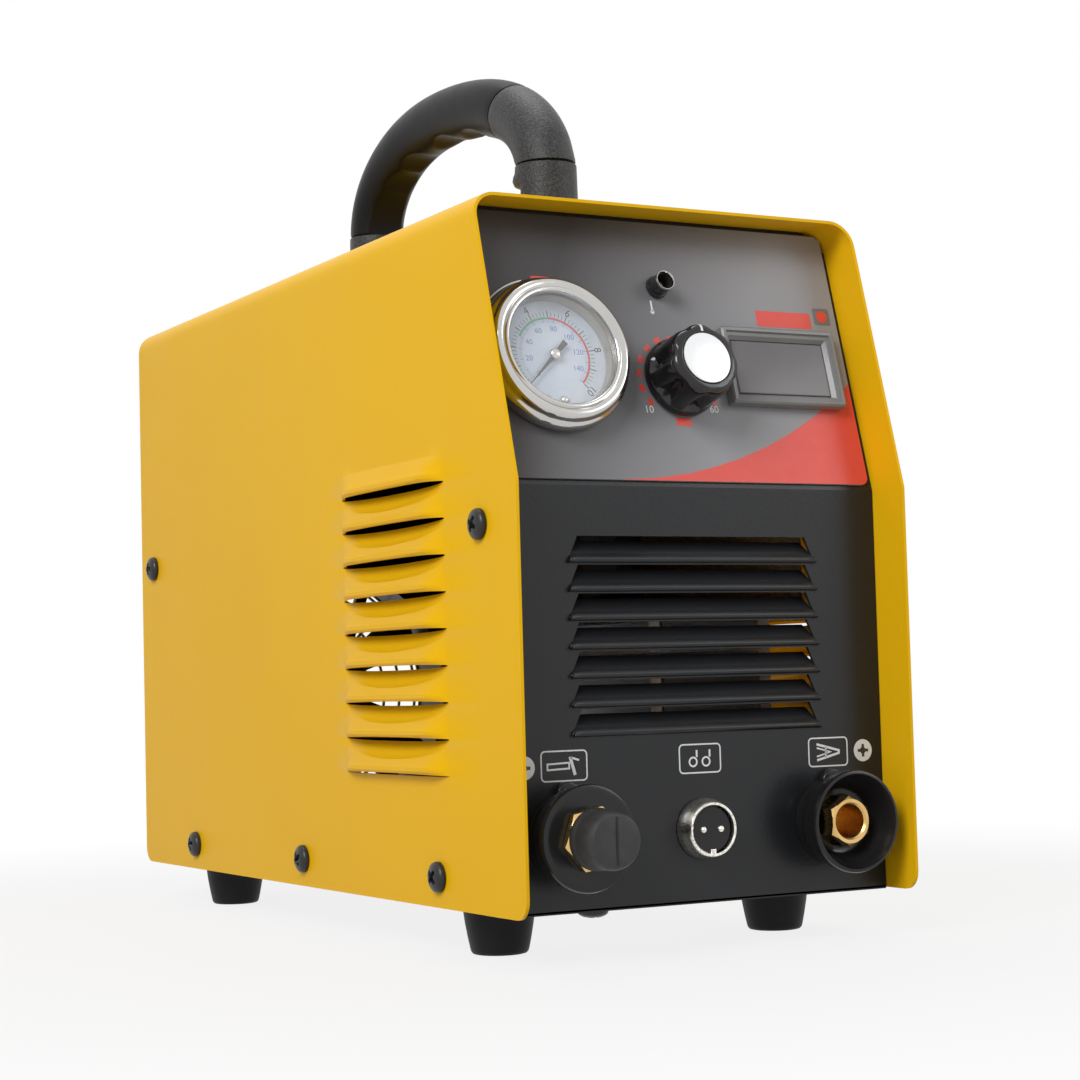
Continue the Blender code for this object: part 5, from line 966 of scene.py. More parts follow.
# Needle: a flat blackened pointer, pressed on a pin with a domed steel hub, between the dial and the glass.
# It rests at zero, to the lower left, and swings clockwise with the pressure.
blade = mm((-6.4, -1.1), (-3, -0.85), (0, -0.85), (6, -0.55), (15, -0.12), (15, 0.12), (6, 0.55), (0, 0.85),
           (-3, 0.85), (-6.4, 1.1))
blackened = Finish("needle_lacquer", (0.03, 0.03, 0.033), 0.45)
blackened.uneven(0.4, 0.2, 700, 2)
needle_frame = gauge_frame @ Matrix.Rotation(math.radians(225), 4, "Z")
place(to_object("needle_blade", prism(blade, 0.004, 0.0044), blackened), needle_frame, "needle_black",
      "gauge_needle", body="needle")
hub = mm((0, 5.3), (0.9, 5.2), (1.7, 4.9), (2.1, 4.4), (2.1, 3.6), (0.6, 3.6), (0.6, -0.7), (0, -0.7))
turned("needle_hub", hub, steel, gauge_frame, "shaft_steel", facets=48, angle=40, body="needle")


# Current meter: a snap-in panel meter with a satin frame, whose lips slope in to a smoked window.
# It is switched off, so the window shows no figures.
def framed_rings(rings, capped=False):
    """A moulded frame from rings of half width, half height, corner radius and height."""
    bm = bmesh.new()
    loops = [[bm.verts.new((x, y, z)) for x, y in rounded(2 * half_x, 2 * half_y, radius, 3)]
             for half_x, half_y, radius, z in rings]
    return skin(bm, loops, capped=capped)


def moulded(name, colour, rough, grain=900, depth=0.00002):
    """Moulded plastic: fine spark-eroded grain, slightly uneven gloss and a faint drift of tone."""
    plastic = Finish(name, colour, rough)
    lighter = tuple(1.25 * part + 0.002 for part in colour)
    plastic.blotch(colour, lighter, 45, 3, 0.52, 0.25)
    plastic.set("Roughness", rough + 0.14 * (plastic.noise(120, 3) - 0.5))
    plastic.relief(plastic.noise(grain, 2), depth)
    plastic.set("Specular IOR Level", 0.38)
    return plastic


meter_frame = slope @ Matrix.Translation((*METER_AT, 0))
# The frame's mid grey is dark plastic lightened evenly as a painted sheen.
frame_plastic_painted_sheen = moulded("meter_plastic_painted_sheen", (0.165, 0.168, 0.165), 0.24, 1100)
rings = mm((19.75, 10.25, 0.3, 1.1), (19.75, 10.25, 0.3, 3), (20.95, 11.45, 0.4, 4.4), (22, 12.5, 0.5, 4.7),
           (22.4, 12.9, 0.6, 5.6), (23.4, 13.9, 0.7, 5.7), (24, 14.5, 0.8, 5.1), (24, 14.5, 0.8, 1.4),
           (22.6, 13.3, 0.4, 1.4), (22.5, 13.25, 0.4, -21.8), (17.75, 8.25, 0.4, -21.8))
place(to_object("meter_frame", framed_rings(rings), frame_plastic_painted_sheen, 25), meter_frame, "meter_plastic",
      "meter_case")
smoked = Finish("smoked_window", (0.15, 0.142, 0.15), 0.09)
smoked.uneven(0.08, 0.06, 70, 3)
smoked.blotch((0.142, 0.134, 0.142), (0.17, 0.16, 0.168), 30, 2)
smoked.relief(smoked.noise(120, 2), 0.00001)
smoked.set("Specular IOR Level", 0.3)
window_rings = mm((18, 8.5, 0.3, 0.4), (19.45, 9.95, 0.3, 1.2), (19.45, 9.95, 0.3, 3), (19.15, 9.65, 0.3, 3.2))
window_glass = to_object("meter_glass", framed_rings(window_rings, capped=True), smoked, 25)
place(window_glass, meter_frame, "meter_window", "meter_window")


# Current knob: gloss black moulding with seven concave flutes over a round skirt, a pressed-in disc of
# spun aluminium and a white pointer line. It turns on a potentiometer behind the panel.
LOBES = 7
knob_frame = slope @ Matrix.Translation((*KNOB_AT, 0))


def fluted(radius, height, turn):
    """Scoops run down between the lobes, shallow at the top rim and deeper below."""
    if radius < 0.0105 or height < 0.0058:
        return radius, height
    wave = (1 + math.cos(LOBES * turn - LOBES * math.pi / 2)) / 2
    depth = 0.0007 + 0.0021 * ease(clamp((0.0186 - height) / 0.004))
    return radius - depth * (1 - wave) ** 2.0 * min(1.0, (radius - 0.0105) / 0.002), height


knob_profile = mm((3.2, 2.1), (13.8, 2.1), (14.3, 2.6), (14.3, 4.2), (14, 5.2), (13.7, 5.7), (13.6, 6.6),
                  (13.6, 8.5), (13.6, 11), (13.6, 13.5), (13.5, 15.5), (13.4, 17), (13.2, 18.2), (12.9, 19.2),
                  (12.4, 20), (11.7, 20.5), (10.6, 20.7), (9.8, 20.7), (9.5, 20.5), (9.4, 20), (9.4, 19.6),
                  (3.2, 19.6))
gloss_black = Finish("knob_gloss", (0.006, 0.006, 0.007), 0.11)
gloss_black.uneven(0.09, 0.1, 160, 4)
gloss_black.blotch((0.005, 0.005, 0.006), (0.009, 0.009, 0.01), 60, 2)
gloss_black.relief(gloss_black.noise(400, 1), 0.00001)
turned("knob_body", knob_profile, gloss_black, knob_frame, "knob_plastic", "current_knob", facets=196,
       shape=fluted, body="knob")
spun = Finish("spun_aluminium", (0.86, 0.87, 0.88), 0.28, 1.0)
spin = spun.add("ShaderNodeVectorMath", {"operation": "LENGTH"}, {0: spun.place((1, 1, 0))})["Value"]
noise_inputs = {"W": spin, "Scale": 5200, "Detail": 2.0}
turned_rings = spun.add("ShaderNodeTexNoise", {"noise_dimensions": "1D"}, noise_inputs)["Fac"]
spun.set("Roughness", 0.22 + 0.16 * turned_rings)
spun.set("Base Color", spun.blend(turned_rings, (0.78, 0.79, 0.8), (0.9, 0.91, 0.92)))
spun.relief(turned_rings, 0.000006)
disc_profile = mm((0, 21.1), (8.6, 21.1), (9.1, 20.9), (9.3, 20.5), (9.3, 19.9), (0, 19.9))
turned("knob_disc", disc_profile, spun, knob_frame, "knob_aluminium", "knob_cap", facets=96, body="knob")
pointer_white = ink("pointer_white", (0.86, 0.86, 0.86), 0.35)
pointer = bmesh.new()
pointer_line = mm((9.9, 20.71), (10.7, 20.7), (11.7, 20.52), (12.4, 20.03), (12.9, 19.23), (13.22, 18.2),
                  (13.42, 17))
edges = [[pointer.verts.new((x, y, z)) for x in (-0.00042, 0.00042)] for y, z in pointer_line]
skin(pointer, edges, closed=False)
pointer_paint = to_object("knob_pointer", pointer, pointer_white, recalculate=False)
pointer_paint.matrix_world = knob_frame
thicken(pointer_paint, 0.00008, offset=1)
link(pointer_paint, "knob_plastic", body="knob")


# Warning lamp: a small black-lacquered tube with a knurled ring nut and a chromed rim, and a dark red lens
# down inside it.
lamp_frame = slope @ Matrix.Translation((*LAMP_AT, 0))
nut_profile = mm((3, 1.4), (4.1, 1.4), (4.2, 1.7), (4.2, 2.6), (4, 3), (3, 3))


def knurled(radius, height, turn):
    return radius - 0.00018 * (radius > 0.00405 and math.sin(20 * turn) > 0), height


lacquer = moulded("lamp_lacquer", (0.02, 0.02, 0.021), 0.28, 1500)
turned("lamp_nut", nut_profile, lacquer, lamp_frame, "lamp_chrome", facets=80, shape=knurled)
tube_low = mm((3.4, 1.2), (3.6, 7.4), (2.9, 7.4), (2.5, 3), (2.5, -7), (2.9, -7), (2.9, 1.2))
turned("lamp_tube", tube_low, lacquer, lamp_frame, "lamp_chrome", "lamp_bezel")
rim_profile = mm((3.6, 7.5), (3.65, 7.9), (3.5, 8.3), (3.3, 8.3), (3.1, 8), (3, 7.5))
turned("lamp_rim", rim_profile, chrome, lamp_frame, "lamp_chrome", angle=40)
lamp_red = Finish("lamp_red", (0.05, 0.004, 0.004), 0.12)
lamp_red.uneven(0.1, 0.08, 300, 2)
lamp_red.set("Base Color", lamp_red.blend(lamp_red.noise(500, 2), (0.03, 0.003, 0.003), (0.08, 0.006, 0.006)))
bead = mm((0, 5), (0.8, 4.88), (1.5, 4.5), (2, 3.8), (2.2, 3), (2.2, -6), (0, -6))
turned("lamp_lens_bead", bead, lamp_red, lamp_frame, "lamp_lens", "lamp_lens", facets=48, angle=35)


# Torch outlet: a black thermoset flange with a half-round lug, a brass hexagon and spigot, and a soft
# dust cap pushed on over the spigot. The cap pulls straight off towards the front.
def lug_mesh(reach=0.018, half_width=0.0045, stem=0.012):
    """The rounded lug over an outlet, a plate that keeps the socket from turning."""
    end = ring_points((0, reach - half_width), half_width, 32)[:17]
    return prism([(-half_width, stem), (half_width, stem)] + end, SEAT, 0.003, 0.0006)


def hexagon(name, across, low, high, bore, finish, frame, slot, *stands_for, turn=30):
    """A bored hexagon with its corners turned down to a cone, as cut from bar."""
    half, facets = across / 2, 96
    bm = bmesh.new()
    columns = []
    for j in range(facets):
        angle = 2 * math.pi * j / facets
        local = (angle - math.radians(turn)) % (math.pi / 3)
        flat = half / math.cos(local - math.pi / 6)
        drop = max(0.0, flat - half * 1.01) * 0.58
        column = [(flat, low), (flat, high - drop - 0.0001), (min(flat, half * 1.005), high),
                  (bore + 0.0006, high), (bore, high - 0.0006), (bore, low - 0.001)]
        columns.append([bm.verts.new((r * math.cos(angle), r * math.sin(angle), z)) for r, z in column])
    skin(bm, columns + columns[:1])
    place(to_object(name, bm, finish, 28), frame, slot, *stands_for)


bakelite = moulded("socket_bakelite", (0.009, 0.009, 0.01), 0.22, 1300, 0.000018)
bakelite.set("Specular IOR Level", 0.34)
brass = bright_metal("brass", (0.74, 0.5, 0.2), 0.24, 0.14, 150)
brass.blotch((0.74, 0.5, 0.2), (0.52, 0.31, 0.1), 60, 4, 0.56, 0.2, 0.6)
torch_frame = front @ Matrix.Translation((-SOCKETS, SOCKET_HEIGHT, 0))
flange = mm((7.1, 16), (15, 16), (16.6, 16), (17.2, 15.8), (17.6, 15.1), (17.6, 14), (17.5, 12.2), (17.2, 10.2),
            (16.6, 8.2), (15.9, 6), (15.2, 4.2), (15, 3.5), (15, 0.3), (11.5, 0.3), (11.5, -17), (7.1, -17))
turned("torch_flange", flange, bakelite, torch_frame, "socket_plastic", "torch_socket", facets=128, angle=35)
place(to_object("torch_lug", lug_mesh(), bakelite, 30), torch_frame, "socket_plastic")
hexagon("torch_hexagon", 0.019, 0.0163, 0.0191, 0.0069, brass, torch_frame, "contact_brass", "torch_nut",
        turn=12)
spigot = mm((0, 29), (6.2, 29), (6.8, 28.4), (6.8, -20.8), (0, -20.8))
turned("torch_spigot", spigot, brass, torch_frame, "contact_brass")
cap_rubber = Finish("cap_rubber_matt", (0.016, 0.016, 0.017), 0.5)
cap_rubber.blotch((0.014, 0.014, 0.015), (0.026, 0.026, 0.026), 110, 4, 0.56, 0.16, 0.6)
cap_rubber.uneven(0.42, 0.26, 130, 3)
cap_rubber.relief(cap_rubber.noise(700, 3), 0.00005)
cap_profile = mm((0, 30.4), (7.1, 30.4), (7.1, 19.4), (9.6, 19.4), (10.1, 19.8), (10.2, 20.6), (10.1, 21.6),
                 (9.7, 22.4), (9.6, 23), (9.55, 27.4), (9.5, 30.4), (9.2, 31.8), (8.6, 32.7), (7.8, 33),
                 (4, 32.95), (0, 32.9))
slit_painted_shade = moulded("cap_slit_painted_shade", (0.004, 0.004, 0.004), 0.6)
turned("dust_cap_body", cap_profile, cap_rubber, torch_frame, "cap_rubber", "torch_cap", facets=96, angle=35,
       body="dust_cap")
# A near-black strip on the cap's face stands for the slit: its dark is painted shade of the gap, not a cut.
slit = prism(rounded(0.0008, 0.0156, 0.00035, 4), 0.03285, 0.03308)
place(to_object("dust_cap_slit_shade", slit, slit_painted_shade, 35), torch_frame, "cap_rubber", body="dust_cap")


# Earth outlet: a deep black cup with a lug, open to the front, round a brass hexagon with a bore that takes
# the pin of a twist plug.
earth_frame = front @ Matrix.Translation((SOCKETS, SOCKET_HEIGHT, 0))
cup = mm((16.3, 16), (16.8, 16), (17.3, 15.8), (17.6, 15.2), (17.6, 14.2), (17.5, 12.2), (17.1, 10),
         (16.6, 8.2), (15.9, 6), (15.2, 4.2), (15, 3.5), (15, 0.3), (11.5, 0.3), (11.5, -17), (7.7, -17),
         (7.7, 2.2), (9.4, 2.2), (9.4, 5.2), (10.8, 5.3), (11.6, 5.8), (12.2, 7), (13.4, 9.2), (14.6, 11.6),
         (15.4, 13.6), (15.9, 15.1))
turned("earth_cup", cup, bakelite, earth_frame, "socket_plastic", "earth_socket", facets=128, angle=35)
place(to_object("earth_lug", lug_mesh(), bakelite, 30), earth_frame, "socket_plastic")
hexagon("earth_hexagon", 0.0152, 0.0025, 0.012, 0.00585, brass, earth_frame, "contact_brass", "earth_contact")
barrel = mm((0, -10), (5.85, -10), (5.85, 2.4), (7.4, 2.4), (7.4, -23), (0, -23))
turned("earth_barrel", barrel, brass, earth_frame, "contact_brass")


# Trigger plug: a round shell with grainy nickel plating and a key at the bottom. A black insert in it holds
# two plated pins for the torch's trigger lead.
pilot_frame = front @ Matrix.Translation((0, PILOT_HEIGHT, 0))
nickel = bright_metal("nickel", (0.66, 0.64, 0.58), 0.2, 0.12, 200)
plated_grain = nickel.noise(1500, 2, 0.6)
nickel.set("Base Color", nickel.blend(plated_grain.step(0.47, 0.1), (0.58, 0.55, 0.48), (0.92, 0.9, 0.84)))
nickel.relief(plated_grain, 0.00008)
shell = mm((8.2, 6.9), (8.5, 7.1), (9, 7.1), (9.3, 6.7), (9.5, 5.8), (9.8, 4.5), (10.1, 3.4), (10.3, 2.6),
           (10.4, 1.4), (10.4, 0.4), (7.8, 0.4), (7.8, -13.2), (5.6, -13.2), (5.6, 1), (8.1, 1))
turned("pilot_shell", shell, nickel, pilot_frame, "pilot_nickel", "pilot_socket", facets=96)
key = prism(mm((-1.1, -8.2), (1.1, -8.2), (1.1, -6.6), (-1.1, -6.6)), 0.0012, 0.0066, 0.0002)
place(to_object("pilot_key", key, nickel, 35), pilot_frame, "pilot_nickel")
insert = mm((0, 5.6), (7.4, 5.6), (7.9, 5.2), (8, 4.6), (8, 1.2), (5.4, 1.2), (5.4, -2.2), (0, -2.2))
turned("pilot_core", insert, bakelite, pilot_frame, "socket_plastic", "pilot_insert")
for name, x in (("left", -0.0035), ("right", 0.0035)):
    pin = mm((0, 7), (0.6, 6.9), (1, 6.6), (1.2, 6), (1.2, -6.5), (0, -6.5))
    turned(f"pilot_contact_{name}", pin, nickel, pilot_frame @ Matrix.Translation((x, 0, 0)), "contact_brass",
           f"pilot_pin_{name}", facets=32, angle=35)


# Handle: an arched moulding of black plastic in four pieces. The satin grip has five finger hollows on its
# inner side; a stippled shroud covers the front bend, and two stippled sockets stand on the cover.
BAR = 0.0115
LEG_TOP = HEIGHT + 0.033
CREST = Vector((0.2, HEIGHT + 0.07))
REAR_LEG, FRONT_LEG = 0.2675, 0.1135


def bend(start, start_pull, end_pull, end, steps):
    """Points of one cubic bend in the middle plane, as y and z."""
    points = []
    for i in range(steps + 1):
        t = i / steps
        weights = ((1 - t) ** 3, 3 * t * (1 - t) ** 2, 3 * t * t * (1 - t), t ** 3)
        pulls = (start, start_pull, end_pull, end)
        points.append(sum((weight * Vector(point) for weight, point in zip(weights, pulls)), Vector((0, 0))))
    return points


def bar_mesh(path, low_edge, high_edge, hollows=(), level=False):
    """A round bar along a path in the middle plane, its ends eased, its inner side scooped by cylinders."""
    ways = [(path[min(i + 1, len(path) - 1)] - path[max(i - 1, 0)]).normalized() for i in range(len(path))]
    stations = [(path[0], ways[0], 0.0), (path[0], ways[0], BAR - low_edge)]
    stations += [(path[0] + ways[0] * low_edge * 0.35, ways[0], BAR - 0.3 * low_edge)]
    stations += [(point, way, BAR) for point, way in zip(path[1:-1], ways[1:-1])]
    stations += [(path[-1] - ways[-1] * high_edge * 0.35, ways[-1], BAR - 0.3 * high_edge)]
    stations += [(path[-1], ways[-1], BAR - high_edge), (path[-1], ways[-1], 0.0)]
    around = 64
    bm = bmesh.new()
    rings = []
    for point, way, radius in stations:
        inward = Vector((-way.y, way.x))
        if radius == 0:
            rings.append([bm.verts.new((0, *point))] * around)
            continue
        ring = []
        for j in range(around):
            angle = 2 * math.pi * j / around
            spot = point + inward * radius * math.sin(angle)
            for centre, reach in hollows:
                away = spot - centre
                if away.length < reach:
                    spot = centre + away.normalized() * reach
            ring.append(bm.verts.new((radius * math.cos(angle), *spot)))
        rings.append(ring)
    if level:
        for ring, drop in ((rings[-4], 0.0016), (rings[-3], 0.0), (rings[-2], 0.0)):
            for vert in ring:
                rest = (LEG_TOP + drop - vert.co.z) / ways[-1].y
                vert.co.y += ways[-1].x * rest
                vert.co.z = LEG_TOP + drop
        for vert in rings[-3]:
            vert.co.z += 0.0003
    return skin(bm, rings)


satin_black = moulded("grip_satin", (0.008, 0.008, 0.009), 0.38, 700, 0.00002)
satin_black.set("Specular IOR Level", 0.12)
stipple = Finish("handle_stipple", (0.014, 0.014, 0.015), 0.4)
pebble = stipple.noise(1150, 3, 0.62)
stipple.set("Base Color", stipple.blend(pebble.step(0.56, 0.14), (0.008, 0.008, 0.009), (0.052, 0.052, 0.053)))
stipple.set("Roughness", 0.28 + 0.26 * pebble)
stipple.relief(pebble, 0.0003)
stipple.set("Specular IOR Level", 0.4)

rise_above_leg = CREST.y - LEG_TOP
rear_run, front_run = REAR_LEG - CREST.x, CREST.x - FRONT_LEG
rear_bend = ((REAR_LEG, LEG_TOP), (REAR_LEG, LEG_TOP + 0.55 * rise_above_leg),
             (CREST.x + 0.6 * rear_run, CREST.y), CREST)
front_bend = (CREST, (CREST.x - 0.42 * front_run, CREST.y),
              (FRONT_LEG + 0.08 * front_run, LEG_TOP + 0.74 * rise_above_leg), (FRONT_LEG, LEG_TOP))
coarse = [Vector((REAR_LEG, LEG_TOP - BAR))] + bend(*rear_bend, 9) + bend(*front_bend, 12)[1:8]
FINGER, FINGER_DEPTH = 0.02, 0.0026
hollows = []
for at in (3, 6, 8, 11, 14):
    along = (coarse[at + 1] - coarse[at - 1]).normalized()
    hollows.append((coarse[at] + Vector((-along.y, along.x)) * (BAR + FINGER - FINGER_DEPTH), FINGER))
front_points = bend(*front_bend, 48)
grip_path = bend(*rear_bend, 54) + front_points[1:29]
seam = front_points[28]
ahead = (seam - coarse[-2]).normalized()
shroud_path = [seam + ahead * 0.0004] + front_points[29:46] + front_points[48:]
for name, path, edges, finish, scoops in (("handle_grip", grip_path, (0.0006, 0.0005), satin_black, hollows),
                                          ("handle_shroud", shroud_path, (0.0005, 0.0007), stipple, ())):
    bar = to_object(name + "_moulding", bar_mesh(path, *edges, scoops, name == "handle_shroud"), finish, 40)
    place(bar, case, "grip_plastic", name)


def socket_mesh(notched):
    """A leg socket, a little wider at its foot; the front one is stepped back on its inner side."""
    bm = bmesh.new()
    low, high = HEIGHT + SEAT, LEG_TOP - 0.0004
    stations = [(low, 0.0119), (low + 0.0005, 0.0123)]
    stations += [(low + (high - low) * i / 22, 0.0123 - 0.0005 * i / 22) for i in range(1, 22)]
    stations += [(high - 0.0004, 0.01178), (high, 0.0113)]
    rings = []
    for z, radius in stations:
        above = z - HEIGHT
        cut = 0.0034 * ease(clamp((0.0252 - above) / 0.0016)) if notched else 0.0
        lip = 0.001 * math.exp(-((above - 0.0272) / 0.0018) ** 2) if notched else 0.0
        ring = []
        for j in range(64):
            turn = 2 * math.pi * j / 64
            reach = radius - (cut - lip) * ease(clamp((math.sin(turn) + 0.15) / 0.5))
            ring.append(bm.verts.new((reach * math.cos(turn), reach * math.sin(turn), z)))
        rings.append(ring)
    return skin(bm, rings, capped=True)


for name, y, notched in (("handle_front_leg", FRONT_LEG, True), ("handle_rear_leg", REAR_LEG, False)):
    place(to_object(name + "_socket", socket_mesh(notched), stipple, 40), case @ Matrix.Translation((0, y, 0)),
          "grip_plastic", name)


# Feet: four tapered bumpers of matt black rubber, each with a rim against the tray, a stem up through it and
# a recess from below for the fixing screw.
foot_rubber = moulded("foot_rubber_matt", (0.005, 0.005, 0.006), 0.5, 500, 0.00005)
foot_rubber.set("Specular IOR Level", 0.18)
foot_profile = mm((0, 7.2), (1.8, 7.2), (2, 6.8), (2, 1.2), (13, 1.2), (13.5, 0.9), (13.6, 0.3), (13.4, -0.3),
                  (12.6, -0.5), (12.4, -1.2), (11.8, -6), (10.9, -11), (10.1, -14.8), (9.8, -15.7),
                  (9.2, -16.3), (8.4, -16.5), (5, -16.5), (4.5, -16), (4.5, -7.6), (0, -7.6))
for side, x in (("left", -0.0567), ("right", 0.0567)):
    for end, y in (("front", 0.059), ("rear", LENGTH - 0.0555)):
        turned(f"rubber_foot_{side}_{end}", foot_profile, foot_rubber, case @ Matrix.Translation((x, y, 0)),
               "foot_rubber", f"foot_{end}_{side}", angle=35)


# Rear panel: a powder-coated sheet that closes the back, with a round opening for the fan, four bolt holes
# and openings for the switch, the cable gland, the air inlet and the earth bolt. Its edges turn inward.
REAR_FACE = LENGTH - 0.0086
rear = (case @ Matrix.Translation((0, REAR_FACE, 0)) @ Matrix.Rotation(math.pi, 4, "Z")
        @ Matrix.Rotation(math.pi / 2, 4, "X"))
FAN_Z, FAN_BOLT = 0.073, 0.0525    # height of the fan's axis, and how far its bolts stand off it each way
SWITCH_AT, GLAND_AT = Vector((-0.036, 0.185)), Vector((0, 0.205))
INLET_AT, EARTH_AT = Vector((0.04, 0.185)), Vector((-0.066, 0.1615))
fan_corners = [Vector((x, FAN_Z + y)) for x in (-FAN_BOLT, FAN_BOLT) for y in (-FAN_BOLT, FAN_BOLT)]
rear_outline = [(-INNER, 0), (INNER, 0), (INNER, PANEL_TOP - 0.0076)]
rear_outline += [(INNER - 0.0076 * (1 - math.cos(angle)), PANEL_TOP - 0.0076 * (1 - math.sin(angle)))
                 for angle in (math.radians(15 * i) for i in range(1, 7))]
rear_outline += [(-x, y) for x, y in reversed(rear_outline[3:])] + [(-INNER, PANEL_TOP - 0.0076)]
rear_holes = [ring_points((0, FAN_Z), 0.0562, 96), rounded(0.0276, 0.0216, 0.0006, 2, SWITCH_AT),
              ring_points(GLAND_AT, 0.0081, 32), ring_points(INLET_AT, 0.0065, 32),
              ring_points(EARTH_AT, 0.0033, 24)]
rear_holes += [ring_points(corner, 0.0024, 20) for corner in fan_corners]
back = pierced_plate("rear_sheet", rear_outline, rear_holes, black_coat, PLATE)
back.matrix_world = rear
link(back, "panel_coat", "rear_panel")
turned_in = bmesh.new()
side_edge = [(0.022, -PLATE), (PANEL_TOP - 0.01, -PLATE), (PANEL_TOP - 0.014, -0.015), (0.026, -0.015)]
for sign in (-1, 1):
    turned_in.faces.new([turned_in.verts.new((sign * (INNER - 0.0006), y, z)) for y, z in side_edge])
half_top = INNER - 0.0095
top_edge = [(-half_top, -PLATE), (half_top, -PLATE), (half_top - 0.003, -0.015), (0.003 - half_top, -0.015)]
turned_in.faces.new([turned_in.verts.new((x, PANEL_TOP - 0.0006, z)) for x, z in top_edge])
edges_in = to_object("rear_flanges", turned_in, black_coat)
edges_in.matrix_world = rear
thicken(edges_in, 0.0011, offset=0)
link(edges_in, "panel_coat")


# Fan: a square moulded frame behind the opening, and a rotor of swept blades on a round hub. Both keep the
# shapes of the solids.
def dress(finish, *names):
    """Gives nodes that keep their shape a finish of their own."""
    for name in names:
        nodes[name].material_slots[0].material = finish.material


fan_plastic = moulded("fan_plastic_black", (0.022, 0.022, 0.023), 0.42, 800)
dress(fan_plastic, "fan_frame", "fan_rotor")


# Finger guard: six rings of bright wire, welded on two crossed wires round a pressed disc. The wires end in
# eyes under four black pan screws.
guard_wire = bright_metal("guard_wire_zinc", (0.6, 0.61, 0.62), 0.26, 0.14, 300)
GUARD_LIFT, WIRE = 0.004, 0.0008
fan_frame = rear @ Matrix.Translation((0, FAN_Z, 0))
for k in range(6):
    ring = ring_points((0.016 + 0.008 * k, GUARD_LIFT), WIRE, 12)
    replaced = ("fan_guard",) if k == 0 else ()
    turned(f"guard_ring_{k + 1}", ring, guard_wire, fan_frame, "guard_wire", *replaced, facets=128, angle=50)
badge = mm((0, 4.8), (7.2, 4.8), (7.9, 4.5), (8, 4), (7.9, 3.4), (7.2, 3.2), (0, 3.2))
turned("guard_centre", badge, guard_wire, fan_frame, "guard_wire", angle=40)


def crossed_wire(reach):
    """A wire across the fan, bent down at both ends to a flattened eye under the screw."""
    bm = bmesh.new()
    bends = [(-reach, 0.0011), (-reach + 0.006, 0.0014), (-reach + 0.011, 0.0027), (-reach + 0.016, 0.0028)]
    line = bends + [(-x, z) for x, z in reversed(bends)]
    rings = []
    for i, (x, z) in enumerate(line):
        before, after = line[max(i - 1, 0)], line[min(i + 1, len(line) - 1)]
        way = Vector((after[0] - before[0], after[1] - before[1])).normalized()
        rings.append([bm.verts.new((x - way.y * WIRE * math.sin(turn), WIRE * math.cos(turn),
                                    z + way.x * WIRE * math.sin(turn)))
                      for turn in (2 * math.pi * j / 16 for j in range(16))])
    return skin(bm, rings, capped=True)


reach = FAN_BOLT * math.sqrt(2) - 0.003
for i, angle in enumerate((math.pi / 4, -math.pi / 4)):
    place(to_object(f"guard_cross_{i + 1}", crossed_wire(reach), guard_wire, 60),
          fan_frame @ Matrix.Rotation(angle, 4, "Z") @ Matrix.Translation((0, 0, -0.0004 * i)), "guard_wire")
eye = mm((2.3, 0.4), (4.8, 0.4), (5, 1), (5, 2.4), (4.7, 2.8), (2.3, 2.8))
for i, corner in enumerate(fan_corners):
    spot = rear @ Matrix.Translation((*corner, 0))
    turned(f"guard_eye_{i + 1}", eye, guard_wire, spot, "guard_wire", facets=48, angle=40)
    bolt = bpy.data.objects.new(f"guard_screw_{i + 1}", screw_shape)
    seat = spot @ Matrix.Translation((0, 0, 0.0029)) @ Matrix.Rotation(0.7 + 1.9 * i, 4, "Z")
    place(bolt, seat @ Matrix.Scale(0.76, 4), "screw_black")


# Mains switch: a black snap-in frame with a deep well, and a red rocker that tips on a pin across it. A white
# bar marks its on side and a ring its off side.
switch_plastic = moulded("switch_plastic_black", (0.02, 0.02, 0.021), 0.34, 1200)
switch_frame = rear @ Matrix.Translation((*SWITCH_AT, 0))
switch_rings = mm((11.7, 8.7, 0.5, -8), (11.7, 8.7, 0.5, 1.2), (12.2, 9.2, 0.8, 1.9), (12.8, 9.8, 1.2, 2.2),
                  (14.2, 11.2, 1.2, 2.1), (14.8, 11.8, 1.3, 1.6), (15, 12, 1.4, 0.9), (15, 12, 1.4, 0.3),
                  (13.5, 10.5, 0.6, 0.3), (13.5, 10.5, 0.6, -21.5), (10, 8, 0.6, -21.5), (10, 8, 0.6, -8.8),
                  (10.3, 8.1, 0.5, -8.8))
place(to_object("switch_body", framed_rings(switch_rings), switch_plastic, 25), switch_frame, "switch_plastic",
      "power_switch")
rocker_plastic = moulded("rocker_plastic_red", (0.56, 0.022, 0.016), 0.26, 900)
rocker_frame = switch_frame @ Matrix.Translation((0, 0, -0.0033)) @ Matrix.Rotation(-math.radians(11), 4, "X")
ROCKER_TIP, ROCKER_MIDDLE, ROCKER_HALF = 0.0071, 0.0056, 0.0075


def rocker_mesh():
    """The rocker from its side outline, with dished faces and eased ends, closed at both sides."""
    tip, half_x = ROCKER_TIP, 0.0111
    outline = [(ROCKER_HALF, tip - 0.003), (ROCKER_HALF, tip - 0.0008), (ROCKER_HALF - 0.0003, tip - 0.0002),
               (ROCKER_HALF - 0.001, tip)]
    outline += [(ROCKER_HALF * (1 - i / 8), ROCKER_MIDDLE + (tip - ROCKER_MIDDLE) * (1 - i / 8) ** 1.7)
                for i in range(2, 8)]
    outline += [(0, ROCKER_MIDDLE)] + [(-y, z) for y, z in reversed(outline)]
    outline += [(0.0041 * math.cos(angle), 0.0012 + 0.0041 * math.sin(angle))
                for angle in (math.pi + math.pi * i / 12 for i in range(13))]
    bm = bmesh.new()
    rings = []
    for x, shrink in ((-half_x, 0.0005), (-half_x + 0.0004, 0.0), (half_x - 0.0004, 0.0), (half_x, 0.0005)):
        rings.append([bm.verts.new((x, y * (1 - shrink / ROCKER_HALF), z - (shrink if z > 0.003 else 0)))
                      for y, z in outline])
    return skin(bm, rings, capped=True)


